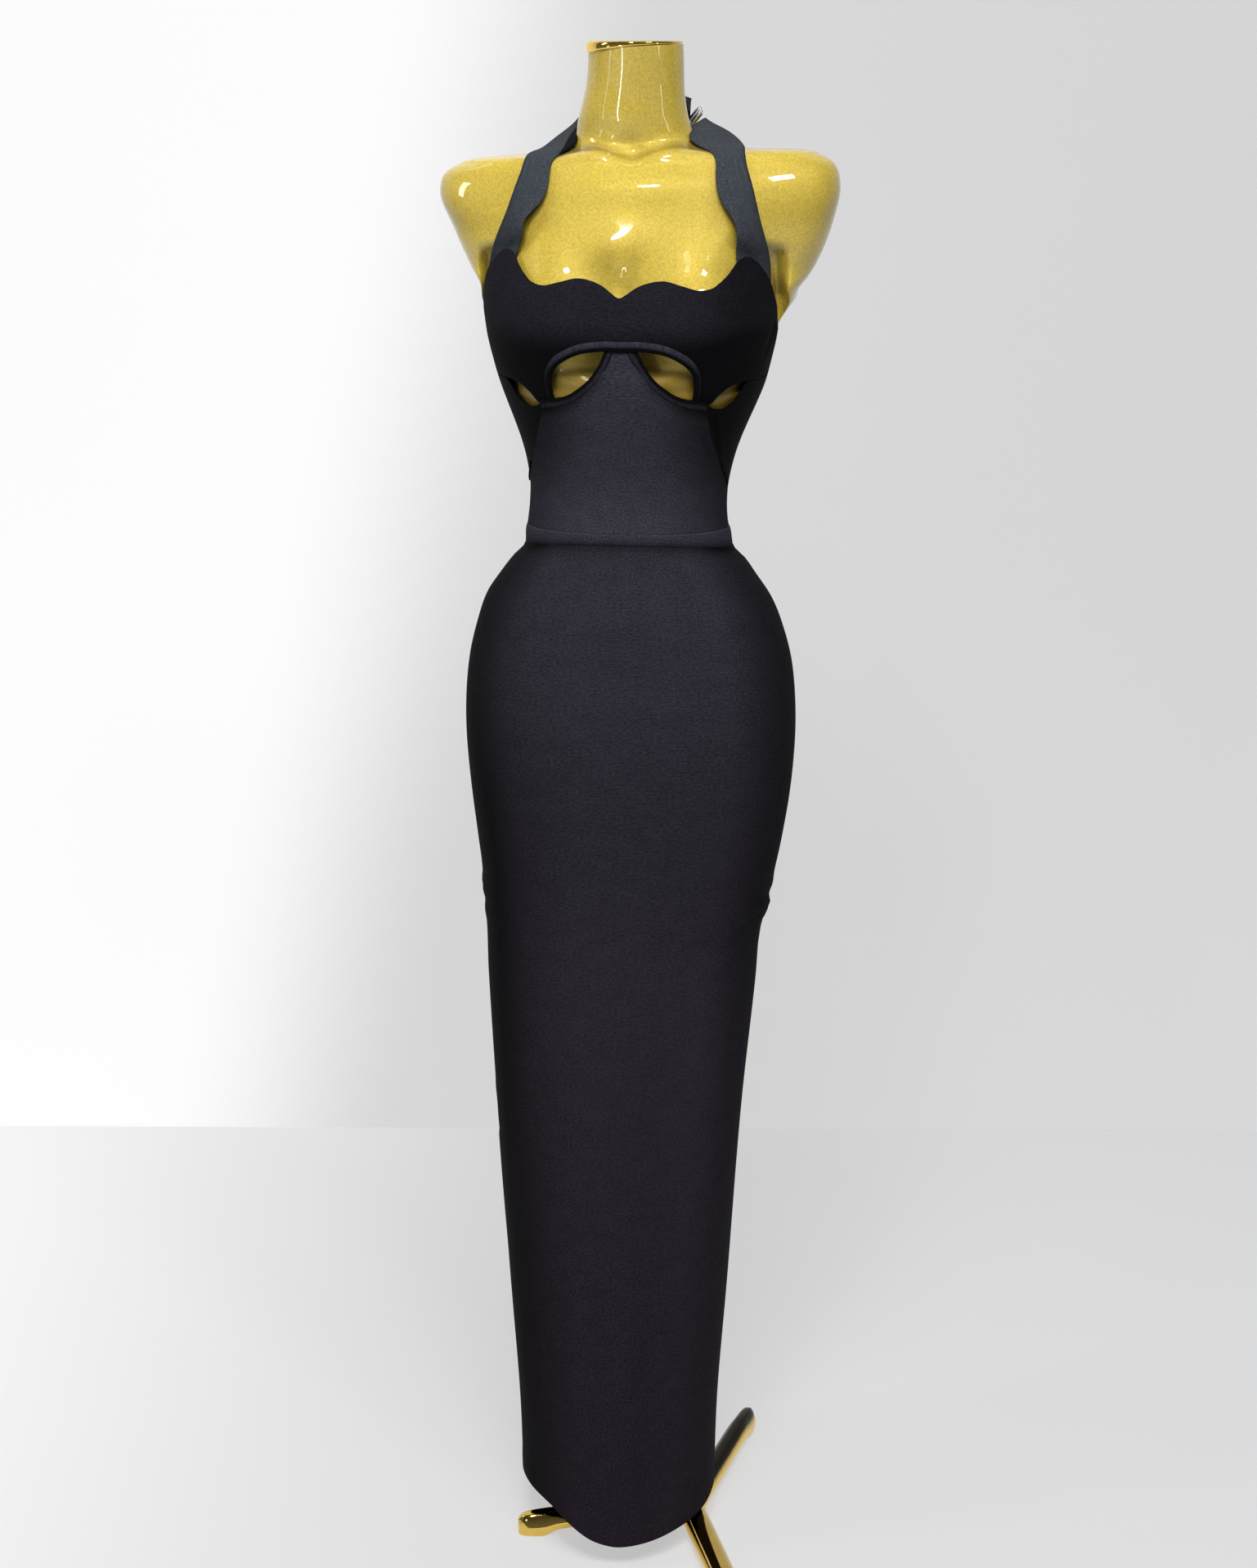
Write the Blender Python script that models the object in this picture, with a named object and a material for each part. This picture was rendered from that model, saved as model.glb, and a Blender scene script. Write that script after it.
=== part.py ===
"""A halter bodycon maxi dress on a limbless dress form, on a stand with three arms.

Everything is in metres, +Z up, with the front of the dress towards -Y and the floor at
z = 0 under the middle of the figure.

The dress is a tube of heavy knit.  Its outer face is a stack of rounded sections, one row
of DRESS for each height, and a point on it is named by an angle round the body (0 at the
centre front, 90 at the right-hand side, 180 at the centre back) and a height.  Each panel
is a wall between two edges drawn on that face, so neighbours share the same seam lines.
"""
import bmesh
import bpy
import math
import numpy as np
from mathutils.bvhtree import BVHTree

# ---- driving sizes -------------------------------------------------------------------
GAP = 0.0003                 # between two pieces that are fitted together
SEAM_GAP = 0.0004            # between two pieces that are sewn together
SEAM_ANGLE = 0.12            # half of a seam's gap, in degrees round the body
SIDE_PANEL_LIFT = 0.0012     # the side panel's pointed end above the front panel's
CLOTH = 0.0016               # heavy bandage knit
EASE = 0.0026                # between the inside of the cloth and the form
CUP_SPACE = 0.0066           # between the outside of the bust band and the form
SIDE_SPACE = 0.0100          # the same at the band's ends, sideways
CUP_MARGIN = 0.0100          # how far above the neckline the form keeps that space
EDGE_BEYOND = 9.0            # how many degrees beyond the band's end the form keeps behind it
STRAP_DEPTH = 0.0032         # from the bust band's face to a strap's end behind it
FIGURE_BACK = 0.0239         # the middle of the whole lies this far in front of the figure's
FIGURE_SIDE = -0.0044        # and this far to its +X side

SIDE_ANGLE = 88.0            # the side seams
BACK_ANGLE = 180.0           # the centre back
WAIST_SEAM = 1.133           # bodice to waistband, at the sides
WAIST_RISE = 0.010           # how far that seam climbs to the centre front
WAIST_PEAK = 1.5             # how much of that climb is close to the centre
NEAR_ANGLE, NEAR_RISE = 0.6, 0.002      # the small steps that give the slope of the cloth's face
WAISTBAND_HEIGHT = 0.0145
WAISTBAND_PROUD = 0.0003
HEM_SIDE = 0.045
BACK_TOP = 1.334             # the top edge of the back panels
BODICE_BACK_ROWS = 8
WORN_TILT = 0.022            # the worn dress's neckline sits lower on its +X side
# the worn dress is drawn wider on the +X side of the front, by so many degrees, growing and
# fading between these angles and these heights
WIDER = 1.4
WIDER_FROM, WIDER_TO = (0.0, 5.0), (60.0, 86.0)
WIDER_ABOVE, WIDER_BELOW = (1.235, 1.262), (1.334, 1.366)
ARCH_THICK = 0.0036          # the rolled bindings
SWOOP_THICK = 0.0024
# rows of the skirt between its hem and the waistband
SKIRT_HEIGHTS = (
    0.142, 0.286, 0.495, 0.647, 0.703, 0.740, 0.800, 0.850, 0.897, 0.905, 0.906, 0.950, 0.985,
    1.015, 1.042, 1.066, 1.092,
)

ZIP_BOTTOM, ZIP_STOP = 0.9065, 0.001
ZIP_CHAIN_WIDTH = 0.0050
CHAIN_PROUD, CHAIN_THICK = 0.0004, 0.0019
ZIP_TAPE_WIDTH = 0.024
ZIP_TAPE_THICK = 0.0007
ZIP_TAPE_BELOW = 0.008
SLIDER_HALF = (0.0042, 0.0012, 0.0052)
SLIDER_SPACE = 0.0004
EAR_HALF = (0.0007, 0.0024, 0.0015)
EAR_SPACE = 0.0004
PIN_RADIUS, PIN_CLEAR = 0.0006, 0.0028
PULL_BELOW_TOP = 0.0105
PULL_HALF_WIDTH, PULL_THICK = 0.0026, 0.0012
# the pull below its pin: distance down, half width
PULL_SECTIONS = ((0.0012, 0.0026), (0.0060, 0.0022), (0.0180, 0.0030), (0.0235, 0.0030), (0.0245, 0.0022))
EYE_RADIUS, EYE_RIM = 0.0009, 0.0017

FORM_FOOT = 0.722            # where the form's thighs are cut flat
NECK_TOP = 1.603             # the form's height without its cap
CAP_TOP = 1.6085
# share of the cap's height, share of the neck's size
CAP_SECTIONS = ((0.0, 0.97), (0.18, 1.02), (0.72, 1.02), (0.92, 0.98), (1.0, 0.90))
FORM_LEAN, FORM_LEAN_FROM = 0.032, (1.38, 1.47)
FORM_SHIFT, FORM_SHIFT_FROM = 0.0040, (1.39, 1.44)
NECK_LEAN, NECK_LEAN_FROM = 0.030, (1.54, 1.60)
NECK_UPRIGHT = 0.6           # the share of that shift taken back in the neck
NECK_UPRIGHT_FROM = (1.505, 1.545)
STRAP_FOOT, STRAP_FOOT_FROM = 1.400, (0.105, 0.125)
FORM_SWELL = 0.80            # how steeply the form may swell forward above the neckline
CLOTH_LIMIT_TOP = 1.470
LIMIT_ROUND = 0.002          # how softly the form's face meets that limit
# the form's columns of points: angles over its front, and how many more round to the back
FORM_FRONT = (0, 9, 18, 27, 35, 43, 50, 55.5, 60, 64, 69, 76, 84)
FORM_BACK_STEPS = 9
FORM_HEIGHTS = (
    FORM_FOOT, 0.770, 0.820, 0.870, 0.912, 0.956, 1.000, 1.040, 1.064, 1.086, 1.102, 1.114, 1.137,
    1.160, 1.185, 1.215, 1.245, 1.268, 1.290, 1.312, 1.335, 1.355, 1.373, 1.390, 1.408, 1.430,
    1.455, 1.475, 1.488, 1.497, 1.5025, 1.506, 1.510, 1.516, 1.532, 1.565, NECK_TOP,
)

POLE_X, POLE_Y = 0.074, -0.030
POLE_RADIUS = 0.0125
SOCKET_HEIGHT = 0.0145
HUB_RADIUS = 0.0175
HUB_FOOT, HUB_TOP = 0.006, 0.036

# ---- the dress's outer face ------------------------------------------------------------
# height, half width, front depth, back depth, shift to +X, squareness of the section
DRESS = [
    (0.020, 0.1086, 0.1370, 0.1100, -0.0110, 2.00),
    (0.142, 0.1114, 0.1310, 0.1110, -0.0114, 2.00),
    (0.286, 0.1208, 0.1220, 0.1120, -0.0118, 2.00),
    (0.495, 0.1334, 0.1090, 0.1140, -0.0122, 2.00),
    (0.647, 0.1439, 0.1010, 0.1160, -0.0096, 2.00),
    (0.703, 0.1464, 0.0990, 0.1170, -0.0084, 2.00),
    (0.727, 0.1508, 0.0990, 0.1180, -0.0064, 2.00),
    (0.768, 0.1555, 0.1000, 0.1220, -0.0036, 2.00),
    (0.804, 0.1610, 0.1020, 0.1270, -0.0022, 2.00),
    (0.859, 0.1681, 0.1050, 0.1340, -0.0013, 2.00),
    (0.912, 0.1720, 0.1070, 0.1360, -0.0014, 2.00),
    (0.956, 0.1716, 0.1060, 0.1300, -0.0016, 2.00),
    (1.000, 0.1667, 0.1020, 0.1200, -0.0018, 2.00),
    (1.039, 0.1563, 0.0970, 0.1080, -0.0025, 2.00),
    (1.064, 0.1462, 0.0920, 0.0980, -0.0034, 2.00),
    (1.086, 0.1312, 0.0870, 0.0880, -0.0035, 2.00),
    (1.102, 0.1193, 0.0840, 0.0810, -0.0030, 2.00),
    (1.114, 0.1074, 0.0822, 0.0775, -0.0034, 2.00),
    (1.137, 0.1027, 0.0810, 0.0745, -0.0045, 2.00),
    (1.160, 0.1004, 0.0826, 0.0745, -0.0041, 2.02),
    (1.185, 0.1012, 0.0870, 0.0765, -0.0030, 2.05),
    (1.221, 0.1094, 0.0980, 0.0820, -0.0018, 2.10),
    (1.278, 0.1312, 0.1180, 0.0900, 0.0000, 2.20),
    (1.300, 0.1374, 0.1240, 0.0915, 0.0000, 2.30),
    (1.335, 0.1448, 0.1290, 0.0930, -0.0003, 2.35),
    (1.371, 0.1471, 0.1200, 0.0930, -0.0012, 2.30),
    (1.400, 0.1460, 0.1060, 0.0930, -0.0008, 2.20),
    (1.430, 0.1400, 0.0920, 0.0930, 0.0000, 2.10),
]

# ---- the form above the dress's back, where it shows -----------------------------------
# height, half width, front depth, back depth, centre line towards +Y, squareness
SHOULDERS = [
    (1.310, 0.1350, 0.0960, 0.0865, 0.0000, 2.10),
    (1.335, 0.1400, 0.0950, 0.0865, 0.0000, 2.10),
    (1.355, 0.1450, 0.0940, 0.0850, 0.0020, 2.30),
    (1.373, 0.1475, 0.0940, 0.0820, 0.0060, 2.10),
    (1.390, 0.1720, 0.0950, 0.0790, 0.0100, 1.60),
    (1.408, 0.1900, 0.0920, 0.0770, 0.0120, 1.60),
    (1.430, 0.2070, 0.0860, 0.0750, 0.0120, 1.75),
    (1.455, 0.2120, 0.0770, 0.0710, 0.0110, 1.95),
    (1.475, 0.1950, 0.0680, 0.0670, 0.0100, 2.10),
    (1.488, 0.1875, 0.0600, 0.0630, 0.0100, 2.20),
    (1.497, 0.1770, 0.0550, 0.0600, 0.0100, 2.20),
    (1.5025, 0.1550, 0.0530, 0.0585, 0.0100, 2.10),
    (1.506, 0.1050, 0.0510, 0.0570, 0.0090, 2.00),
    (1.510, 0.0740, 0.0490, 0.0560, 0.0090, 2.00),
    (1.516, 0.0630, 0.0440, 0.0530, 0.0080, 2.00),
    (1.532, 0.0572, 0.0400, 0.0500, 0.0060, 2.00),
    (1.565, 0.0495, 0.0390, 0.0470, 0.0030, 2.00),
    (1.603, 0.0462, 0.0410, 0.0470, 0.0000, 2.00),
]
BUST_APART = 0.070           # from the centre front to each bust point
BUST_HEIGHT = 1.337
BUST_FORWARD = 0.0310
BUST_SPREAD = 0.0440         # sideways reach of the mound
BUST_REACH_UP, BUST_REACH_DOWN = 0.0720, 0.0300
RIB_HOLLOW = 0.0070          # how far the form falls back under the bust
RIB_HOLLOW_HEIGHT, RIB_HOLLOW_REACH = 1.268, 0.030
NECK_NOTCH_DEPTH, NECK_NOTCH_REACH, NECK_NOTCH_WIDTH = 0.0080, 0.0140, 0.0160
NECK_NOTCH_HEIGHT = 1.506
# the arms are cut by planes that lean in towards the ribs: side, distance from the middle, the
# height of that point, how far the plane leans in for each metre down
ARM_CUTS = [(-1, 0.1905, 1.4500, 0.550), (1, 0.1930, 1.4500, 0.485)]
ARM_CUT_FROM = 1.360         # only the arms are cut, not the hips below

# ---- seam lines on the right half of the front ------------------------------------------
# the bust band where its lower edge follows the arch: angle and height of the opening's
# edge, of the seam between the arch's binding and the band, and of the neckline above it
BAND_ARCH = [
    (0.0, 1.3250, 0.0, 1.3345, 0.0, 1.3740),
    (4.1, 1.3250, 5.0, 1.3345, 5.8, 1.3860),
    (12.4, 1.3215, 13.4, 1.3305, 13.6, 1.3908),
    (19.9, 1.3130, 23.0, 1.3185, 21.0, 1.3864),
    (24.9, 1.3030, 29.2, 1.3045, 27.6, 1.3826),
    (27.0, 1.2900, 32.0, 1.2900, 33.5, 1.3848),
    (27.9, 1.2774, 33.0, 1.2764, 37.6, 1.3905),
]
# the rest of the band out to the side seam, along the tie and the side opening: angle and
# height of the lower edge, and of the neckline above it
BAND_CUP = [
    (35.4, 1.2742, 41.6, 1.3975),
    (38.3, 1.2718, 46.6, 1.4080),
    (41.7, 1.2805, 50.4, 1.4120),
    (46.4, 1.2873, 54.4, 1.4124),
    (52.0, 1.2908, 58.6, 1.4090),
    (57.6, 1.2916, 64.2, 1.4000),
    (66.0, 1.2916, 70.6, 1.3880),
    (77.0, 1.2916, 79.0, 1.3660),
    (87.9, 1.2916, 87.9, 1.3380),
]
# the binding of the midriff's swooping top edge, from the centre peak to the tie: its upper
# edge, and its seam with the midriff
SWOOP = [
    (4.0, 1.3238, 1.6, 1.3238),
    (6.1, 1.3110, 4.1, 1.3085),
    (10.4, 1.2970, 8.7, 1.2920),
    (17.2, 1.2852, 15.9, 1.2785),
    (22.5, 1.2795, 21.9, 1.2718),
    (27.9, 1.2767, 27.9, 1.2684),
    (33.0, 1.2757, 33.2, 1.2668),
    (36.5, 1.2722, 36.5, 1.2656),
]
# princess seam from the tie out to the side, then down the side seam
PRINCESS = [
    (36.7, 1.2652), (42.0, 1.2490), (48.0, 1.2335), (58.0, 1.2130), (69.0, 1.1955),
    (80.0, 1.1825), (86.6, 1.1745), (88.0, 1.1600), (88.0, 1.1332),
]
PRINCESS_ROWS_TO_POINT = 7   # rows before the side panel has narrowed to nothing
# top edge of the side panel, under the side opening and on to the side seam
SIDE_PANEL_CORNER = (36.9, 1.2652)
SIDE_PANEL_TOP = [
    (37.1, 1.2714), (38.4, 1.2692), (41.6, 1.2668), (46.5, 1.2658), (50.4, 1.2698),
    (53.8, 1.2758), (57.3, 1.2880), (60.0, 1.2911), (70.0, 1.2911), (87.9, 1.2911),
]
# top edge of a back panel
BACK_EDGE = [(88.1, 1.3376), (96.0, 1.3348), (110.0, BACK_TOP), (140.0, BACK_TOP), (180.0, BACK_TOP)]

# the hem's height: angle, height
HEM = [
    (-180.0, 0.0480), (-120.0, 0.0530), (-88.0, 0.0520), (-66.0, 0.0595), (-46.0, 0.0615),
    (-35.0, 0.0585), (-26.0, 0.0520), (-10.0, 0.0380), (0.0, 0.0330), (8.0, 0.0305), (24.0, 0.0302),
    (45.0, 0.0315), (68.0, 0.0320), (88.0, 0.0340), (120.0, 0.0390), (180.0, 0.0480),
]

# ---- halter strap on the +X side, its outer and its inner edge --------------------------
# the end sewn behind the cup: outer angle, inner angle, height above the neckline
STRAP_BASE = [
    (76.0, 47.8, -0.0100),
    (75.2, 47.4, 0.0012),
]
# from there over the shoulder to the nape: outer x, y, z, inner x, y, z
STRAP = [
    (0.1380, -0.0390, 1.4045, 0.1036, -0.0730, 1.4225),
    (0.1325, -0.0495, 1.4225, 0.1040, -0.0765, 1.4310),
    (0.1255, -0.0540, 1.4410, 0.1025, -0.0735, 1.4430),
    (0.1205, -0.0530, 1.4560, 0.0940, -0.0700, 1.4525),
    (0.1160, -0.0490, 1.4700, 0.0840, -0.0655, 1.4640),
    (0.1115, -0.0440, 1.4830, 0.0808, -0.0585, 1.4780),
    (0.1085, -0.0390, 1.4920, 0.0803, -0.0515, 1.4895),
    (0.1065, -0.0300, 1.4990, 0.0800, -0.0450, 1.4975),
    (0.1050, -0.0150, 1.5035, 0.0770, -0.0370, 1.5035),
    (0.1020, 0.0000, 1.5060, 0.0705, -0.0290, 1.5080),
    (0.0950, 0.0130, 1.5110, 0.0640, -0.0220, 1.5140),
    (0.0835, 0.0240, 1.5205, 0.0600, -0.0110, 1.5195),
    (0.0730, 0.0330, 1.5275, 0.0585, 0.0070, 1.5220),
    (0.0645, 0.0410, 1.5345, 0.0590, 0.0270, 1.5240),
    (0.0580, 0.0485, 1.5430, 0.0580, 0.0450, 1.5270),
    (0.0470, 0.0570, 1.5540, 0.0490, 0.0570, 1.5345),
    (0.0250, 0.0620, 1.5590, 0.0260, 0.0640, 1.5390),
    (0.0000, 0.0630, 1.5600, 0.0000, 0.0655, 1.5400),
]
STRAP_STEPS = 2.0            # lines made for each row of STRAP
STRAP_TILT_ENDS = (1.430, 1.480)
STRAP_ACROSS = 4             # faces across a strap
STRAP_CLEAR = 0.0013         # least space between a strap and the form
STRAP_SPLIT = 16             # the row, the base's included, where the clasp sits on the +X strap
CLASP_HALF_LENGTH = 0.0068
CLASP_HALF_HEIGHT = 0.0105
CLASP_THICK = 0.0032
CLASP_ROUND = 0.45           # how square the clasp's section is
STOP_STEP = 0.01
CLASP_SPACE = 0.0006

# ---- stand -------------------------------------------------------------------------------
# name, direction in degrees from +X, reach from the hub's centre
ARMS = [
    ("stand_arm_back", 76.0, 0.223),
    ("stand_arm_left", 194.0, 0.196),
    ("stand_arm_front", 288.6, 0.215),
]
# share of the arm's length, half width, height of the underside, height of the top
ARM_SECTIONS = [
    (0.00, 0.0134, 0.0085, 0.0285), (0.30, 0.0134, 0.0085, 0.0280), (0.58, 0.0132, 0.0085, 0.0275),
    (0.76, 0.0130, 0.0065, 0.0270), (0.84, 0.0128, 0.0000, 0.0265), (0.94, 0.0114, 0.0000, 0.0245),
    (0.98, 0.0082, 0.0000, 0.0220), (1.00, 0.0045, 0.0000, 0.0180),
]
# the arm's section: side, rise
ARM_PROFILE = [
    (-0.85, 0.0), (0.85, 0.0), (1.0, 0.15), (1.0, 0.42), (0.70, 0.78), (0.34, 0.97),
    (-0.34, 1.0), (-0.70, 0.82), (-1.0, 0.45), (-1.0, 0.15),
]

# looks: colour, roughness, metallic
BANDAGE_KNIT = ((0.030, 0.030, 0.038), 0.90, 0.0)
GOLD_PAINT = ((0.78, 0.60, 0.16), 0.22, 0.75)
GOLD_CHROME = ((0.90, 0.66, 0.18), 0.08, 1.0)
SILVER_METAL = ((0.82, 0.83, 0.85), 0.20, 1.0)
ZIP_TAPE_CLOTH = ((0.035, 0.035, 0.040), 0.80, 0.0)


# ---- tools -------------------------------------------------------------------------------
def material(name, colour, roughness, metallic):
    """A piece's own plain material."""
    made = bpy.data.materials.new(name)
    made.use_nodes = True
    shader = made.node_tree.nodes["Principled BSDF"]
    shader.inputs["Base Color"].default_value = (*colour, 1.0)
    shader.inputs["Roughness"].default_value = roughness
    shader.inputs["Metallic"].default_value = metallic
    return made


def unit(vector):
    """A vector's direction."""
    vector = np.asarray(vector, float)
    return vector / np.linalg.norm(vector)


def smooth(value, low, high):
    """0 below one value and 1 above another, with a soft step between."""
    t = max(0.0, min(1.0, (value - low) / (high - low)))
    return t * t * (3 - 2 * t)


def eased(rows, at):
    """A row of a table at a value of its first column, on a smooth curve through the rows."""
    table = np.asarray(rows, float)
    keys = table[:, 0]
    at = min(max(at, keys[0]), keys[-1])
    i = min(int(np.searchsorted(keys, at, side="right")) - 1, len(keys) - 2)
    step = keys[i + 1] - keys[i]
    t = (at - keys[i]) / step

    def slope(j):
        a, b = max(j - 1, 0), min(j + 1, len(keys) - 1)
        return (table[b] - table[a]) / (keys[b] - keys[a]) * step

    low, high = table[i], table[i + 1]
    start = (1 + 2 * t) * (1 - t) ** 2 * low + t * (1 - t) ** 2 * slope(i)
    finish = t * t * (3 - 2 * t) * high + t * t * (t - 1) * slope(i + 1)
    return start + finish


def refined(rows, steps):
    """The rows of a table with more rows between them, on a smooth curve through them."""
    table = np.asarray(rows, float)
    counted = np.column_stack([np.arange(len(table)), table])
    count = (len(table) - 1) * steps
    return [eased(counted, i / steps)[1:] for i in range(count + 1)]


def mirrored(rows, angle_columns=(0,)):
    """Rows for the right half, preceded by the same rows with their angles turned over."""
    left = []
    for row in reversed(rows):
        row = list(row)
        for column in angle_columns:
            row[column] = -row[column]
        left.append(tuple(row))
    if abs(rows[0][0]) < 1e-9:
        left = left[:-1]
    return left + [tuple(row) for row in rows]


def squircle(angle, width, front, back, power):
    """A point of a rounded section: x, y."""
    s, c = math.sin(math.radians(angle)), math.cos(math.radians(angle))
    depth = front if c > 0 else back
    x = width * math.copysign(abs(s) ** (2 / power), s)
    y = -depth * math.copysign(abs(c) ** (2 / power), c)
    return x, y


def dress_raw(angle, height):
    """A point of the dress's outer face."""
    _, width, front, back, shift, power = eased(DRESS, height)
    x, y = squircle(angle, width, front, back, power)
    return np.array([x + shift, y, height])


def placed(angle, height):
    """An angle on the front: the worn dress is drawn a little wider on its +X side."""
    across = smooth(angle, *WIDER_FROM) * (1 - smooth(angle, *WIDER_TO))
    return angle + WIDER * across * smooth(height, *WIDER_ABOVE) * (1 - smooth(height, *WIDER_BELOW))


def dress_point(angle, height, out=0.0):
    """A point of the dress's outer face, moved out along the face's normal."""
    angle = placed(angle, height)
    here = dress_raw(angle, height)
    across = dress_raw(angle + NEAR_ANGLE, height) - dress_raw(angle - NEAR_ANGLE, height)
    up = dress_raw(angle, height + NEAR_RISE) - dress_raw(angle, height - NEAR_RISE)
    return here + unit(np.cross(across, up)) * out


def lean(point):
    """A point of the form, which leans to +X so that its +X shoulder is the higher one."""
    slope = FORM_LEAN * smooth(point[2], *FORM_LEAN_FROM)
    slope += NECK_LEAN * smooth(point[2], *NECK_LEAN_FROM)
    shift = FORM_SHIFT * smooth(point[2], *FORM_SHIFT_FROM)
    shift *= 1 - NECK_UPRIGHT * smooth(point[2], *NECK_UPRIGHT_FROM)
    return np.array([point[0] + shift, point[1], point[2] + slope * point[0]])


def worn(point):
    """A point of a strap: it tilts with the neckline at the cup and with the form above."""
    share = smooth(point[2], *STRAP_TILT_ENDS)
    leaning = lean(point)
    raised = point[2] - WORN_TILT * point[0]
    return np.array([leaning[0], point[1], raised + (leaning[2] - raised) * share])


def finish(name, bm, look):
    """A bmesh as a named object with smooth round faces and its own material."""
    bmesh.ops.remove_doubles(bm, verts=bm.verts, dist=1e-6)
    bmesh.ops.recalc_face_normals(bm, faces=bm.faces)
    mesh = bpy.data.meshes.new(name)
    bm.to_mesh(mesh)
    bm.free()
    mesh.materials.append(material(f"{name} surface", *look))
    mesh.shade_smooth()
    mesh.set_sharp_from_angle(angle=math.radians(40))
    made = bpy.data.objects.new(name, mesh)
    bpy.context.scene.collection.objects.link(made)
    return made


def loft(name, rings, look):
    """A closed body through rings of points, with its two ends filled."""
    bm = bmesh.new()
    loops = [[bm.verts.new(tuple(point)) for point in ring] for ring in rings]
    for low, high in zip(loops, loops[1:]):
        for i in range(len(low)):
            j = (i + 1) % len(low)
            bm.faces.new((low[i], low[j], high[j], high[i]))
    for ring in (loops[0], loops[-1]):
        bm.faces.new(ring)
    return finish(name, bm, look)


def wall(name, outer, inner, look):
    """A closed wall between two grids of points of the same size."""
    bm = bmesh.new()
    faces = [[[bm.verts.new(tuple(p)) for p in row] for row in grid] for grid in (outer, inner)]
    rows, columns = len(outer), len(outer[0])
    for grid in faces:
        for r in range(rows - 1):
            for c in range(columns - 1):
                bm.faces.new((grid[r][c], grid[r][c + 1], grid[r + 1][c + 1], grid[r + 1][c]))
    rim = [(0, c) for c in range(columns - 1)]
    rim += [(r, columns - 1) for r in range(rows - 1)]
    rim += [(rows - 1, c) for c in range(columns - 1, 0, -1)]
    rim += [(r, 0) for r in range(rows - 1, 0, -1)]
    for here, there in zip(rim, rim[1:] + rim[:1]):
        a, b = faces[0][here[0]][here[1]], faces[0][there[0]][there[1]]
        c, d = faces[1][there[0]][there[1]], faces[1][here[0]][here[1]]
        bm.faces.new((a, b, c, d))
    return finish(name, bm, look)


def panel(name, lines, look, out=0.0, thickness=CLOTH):
    """A wall on the dress's face through lines of (angle, height) points."""
    outer = [[dress_point(a, z, out) for a, z in line] for line in lines]
    inner = [[dress_point(a, z, out - thickness) for a, z in line] for line in lines]
    return wall(name, outer, inner, look)


def between(low, high, rows):
    """Lines of points from one edge to another, where each edge has the same number."""
    lines = []
    for r in range(rows + 1):
        t = r / rows
        lines.append([(a + (c - a) * t, b + (d - b) * t) for (a, b), (c, d) in zip(low, high)])
    return lines


def rolled_strip(name, rows, look, thick, sides=8):
    """A rolled binding that fills the space between an opening's edge and a panel's edge."""
    rings = []
    for open_angle, open_height, seam_angle, seam_height in rows:
        a = dress_point(open_angle, open_height, -CLOTH / 2)
        b = dress_point(seam_angle, seam_height, -CLOTH / 2)
        across = unit(b - a)
        width = np.linalg.norm(b - a) - SEAM_GAP
        angle, height = (open_angle + seam_angle) / 2, (open_height + seam_height) / 2
        out = unit(dress_point(angle, height, 0.01) - dress_point(angle, height))
        centre = a + across * width / 2 + out * (thick - CLOTH) / 2
        half = width / 2 / math.cos(math.pi / sides)
        ring = []
        for k in range(sides):
            turn = math.tau * (k + 0.5) / sides
            ring.append(centre + across * half * math.cos(turn) + out * thick / 2 * math.sin(turn))
        rings.append(ring)
    return loft(name, rings, look)


# ---- dress -------------------------------------------------------------------------------
def tilt(angle, height):
    """How far the worn dress's neckline sits above or below its drawn height."""
    return -WORN_TILT * dress_raw(angle, height)[0] * smooth(height, 1.355, 1.385)


def tilted(line):
    """A line of points with the worn dress's tilt added."""
    return [(a, z + tilt(a, z)) for a, z in line]


def waist_line(angle):
    """The waist seam's height, a little higher at the centre front."""
    return WAIST_SEAM + WAIST_RISE * max(0.0, math.cos(math.radians(angle))) ** WAIST_PEAK


def arch_rows():
    """The right half of the arch: opening, seam and neckline."""
    return refined(BAND_ARCH, 2)


def make_bust_band(cloth):
    """The front of the bust band, from the scalloped neckline down to the arch."""
    half = [row[2:] for row in arch_rows()]
    half += refined([half[-1]] + [np.array(row) for row in BAND_CUP], 2)[1:]
    stations = mirrored([tuple(row) for row in half], (0, 2))
    low = [(row[0], row[1]) for row in stations]
    high = tilted([(row[2], row[3]) for row in stations])
    return panel("bust_band_front", between(low, high, 6), cloth)


def make_midriff_front(cloth):
    """The middle panel, from its centre peak and swooping top to the waist seam."""
    half = [(0.0, SWOOP[0][3])] + [(row[2], row[3]) for row in refined(SWOOP, 2)]
    top = mirrored(half)
    edge_angle = top[-1][0]
    lines = []
    for angle, height in reversed(PRINCESS):
        down = (PRINCESS[0][1] - height) / (PRINCESS[0][1] - PRINCESS[-1][1])
        side = angle - SEAM_ANGLE
        line = []
        for a, z in top:
            share = a / edge_angle
            foot = waist_line(share * SIDE_ANGLE) + SEAM_GAP / 2
            line.append((share * side, z + (foot - z) * down))
        lines.append(line)
    return panel("midriff_front", lines, cloth)


def make_midriff_side(name, side, cloth):
    """The side panel under the crescent opening, which narrows to a point at the side."""
    seam = PRINCESS[:PRINCESS_ROWS_TO_POINT]
    top = [SIDE_PANEL_CORNER] + SIDE_PANEL_TOP
    first, last = top[0][0], top[-1][0]
    point = seam[-1][1]
    lines = []
    for angle, level in reversed(seam):
        down = (seam[0][1] - level) / (seam[0][1] - point)
        start, end = angle + SEAM_ANGLE, SIDE_ANGLE - SEAM_ANGLE
        line = []
        for a, z in top:
            share = (a - first) / (last - first)
            height = z + (point + SIDE_PANEL_LIFT - z) * down
            line.append((side * (start + (end - start) * share), height))
        lines.append(line)
    return panel(name, lines, cloth)


def arch_binding(cloth):
    """The rolled binding of the under-bust arch."""
    rows = [tuple(row[:4]) for row in arch_rows()]
    return rolled_strip("arch_binding", mirrored(rows, (0, 2)), cloth, ARCH_THICK)


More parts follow.
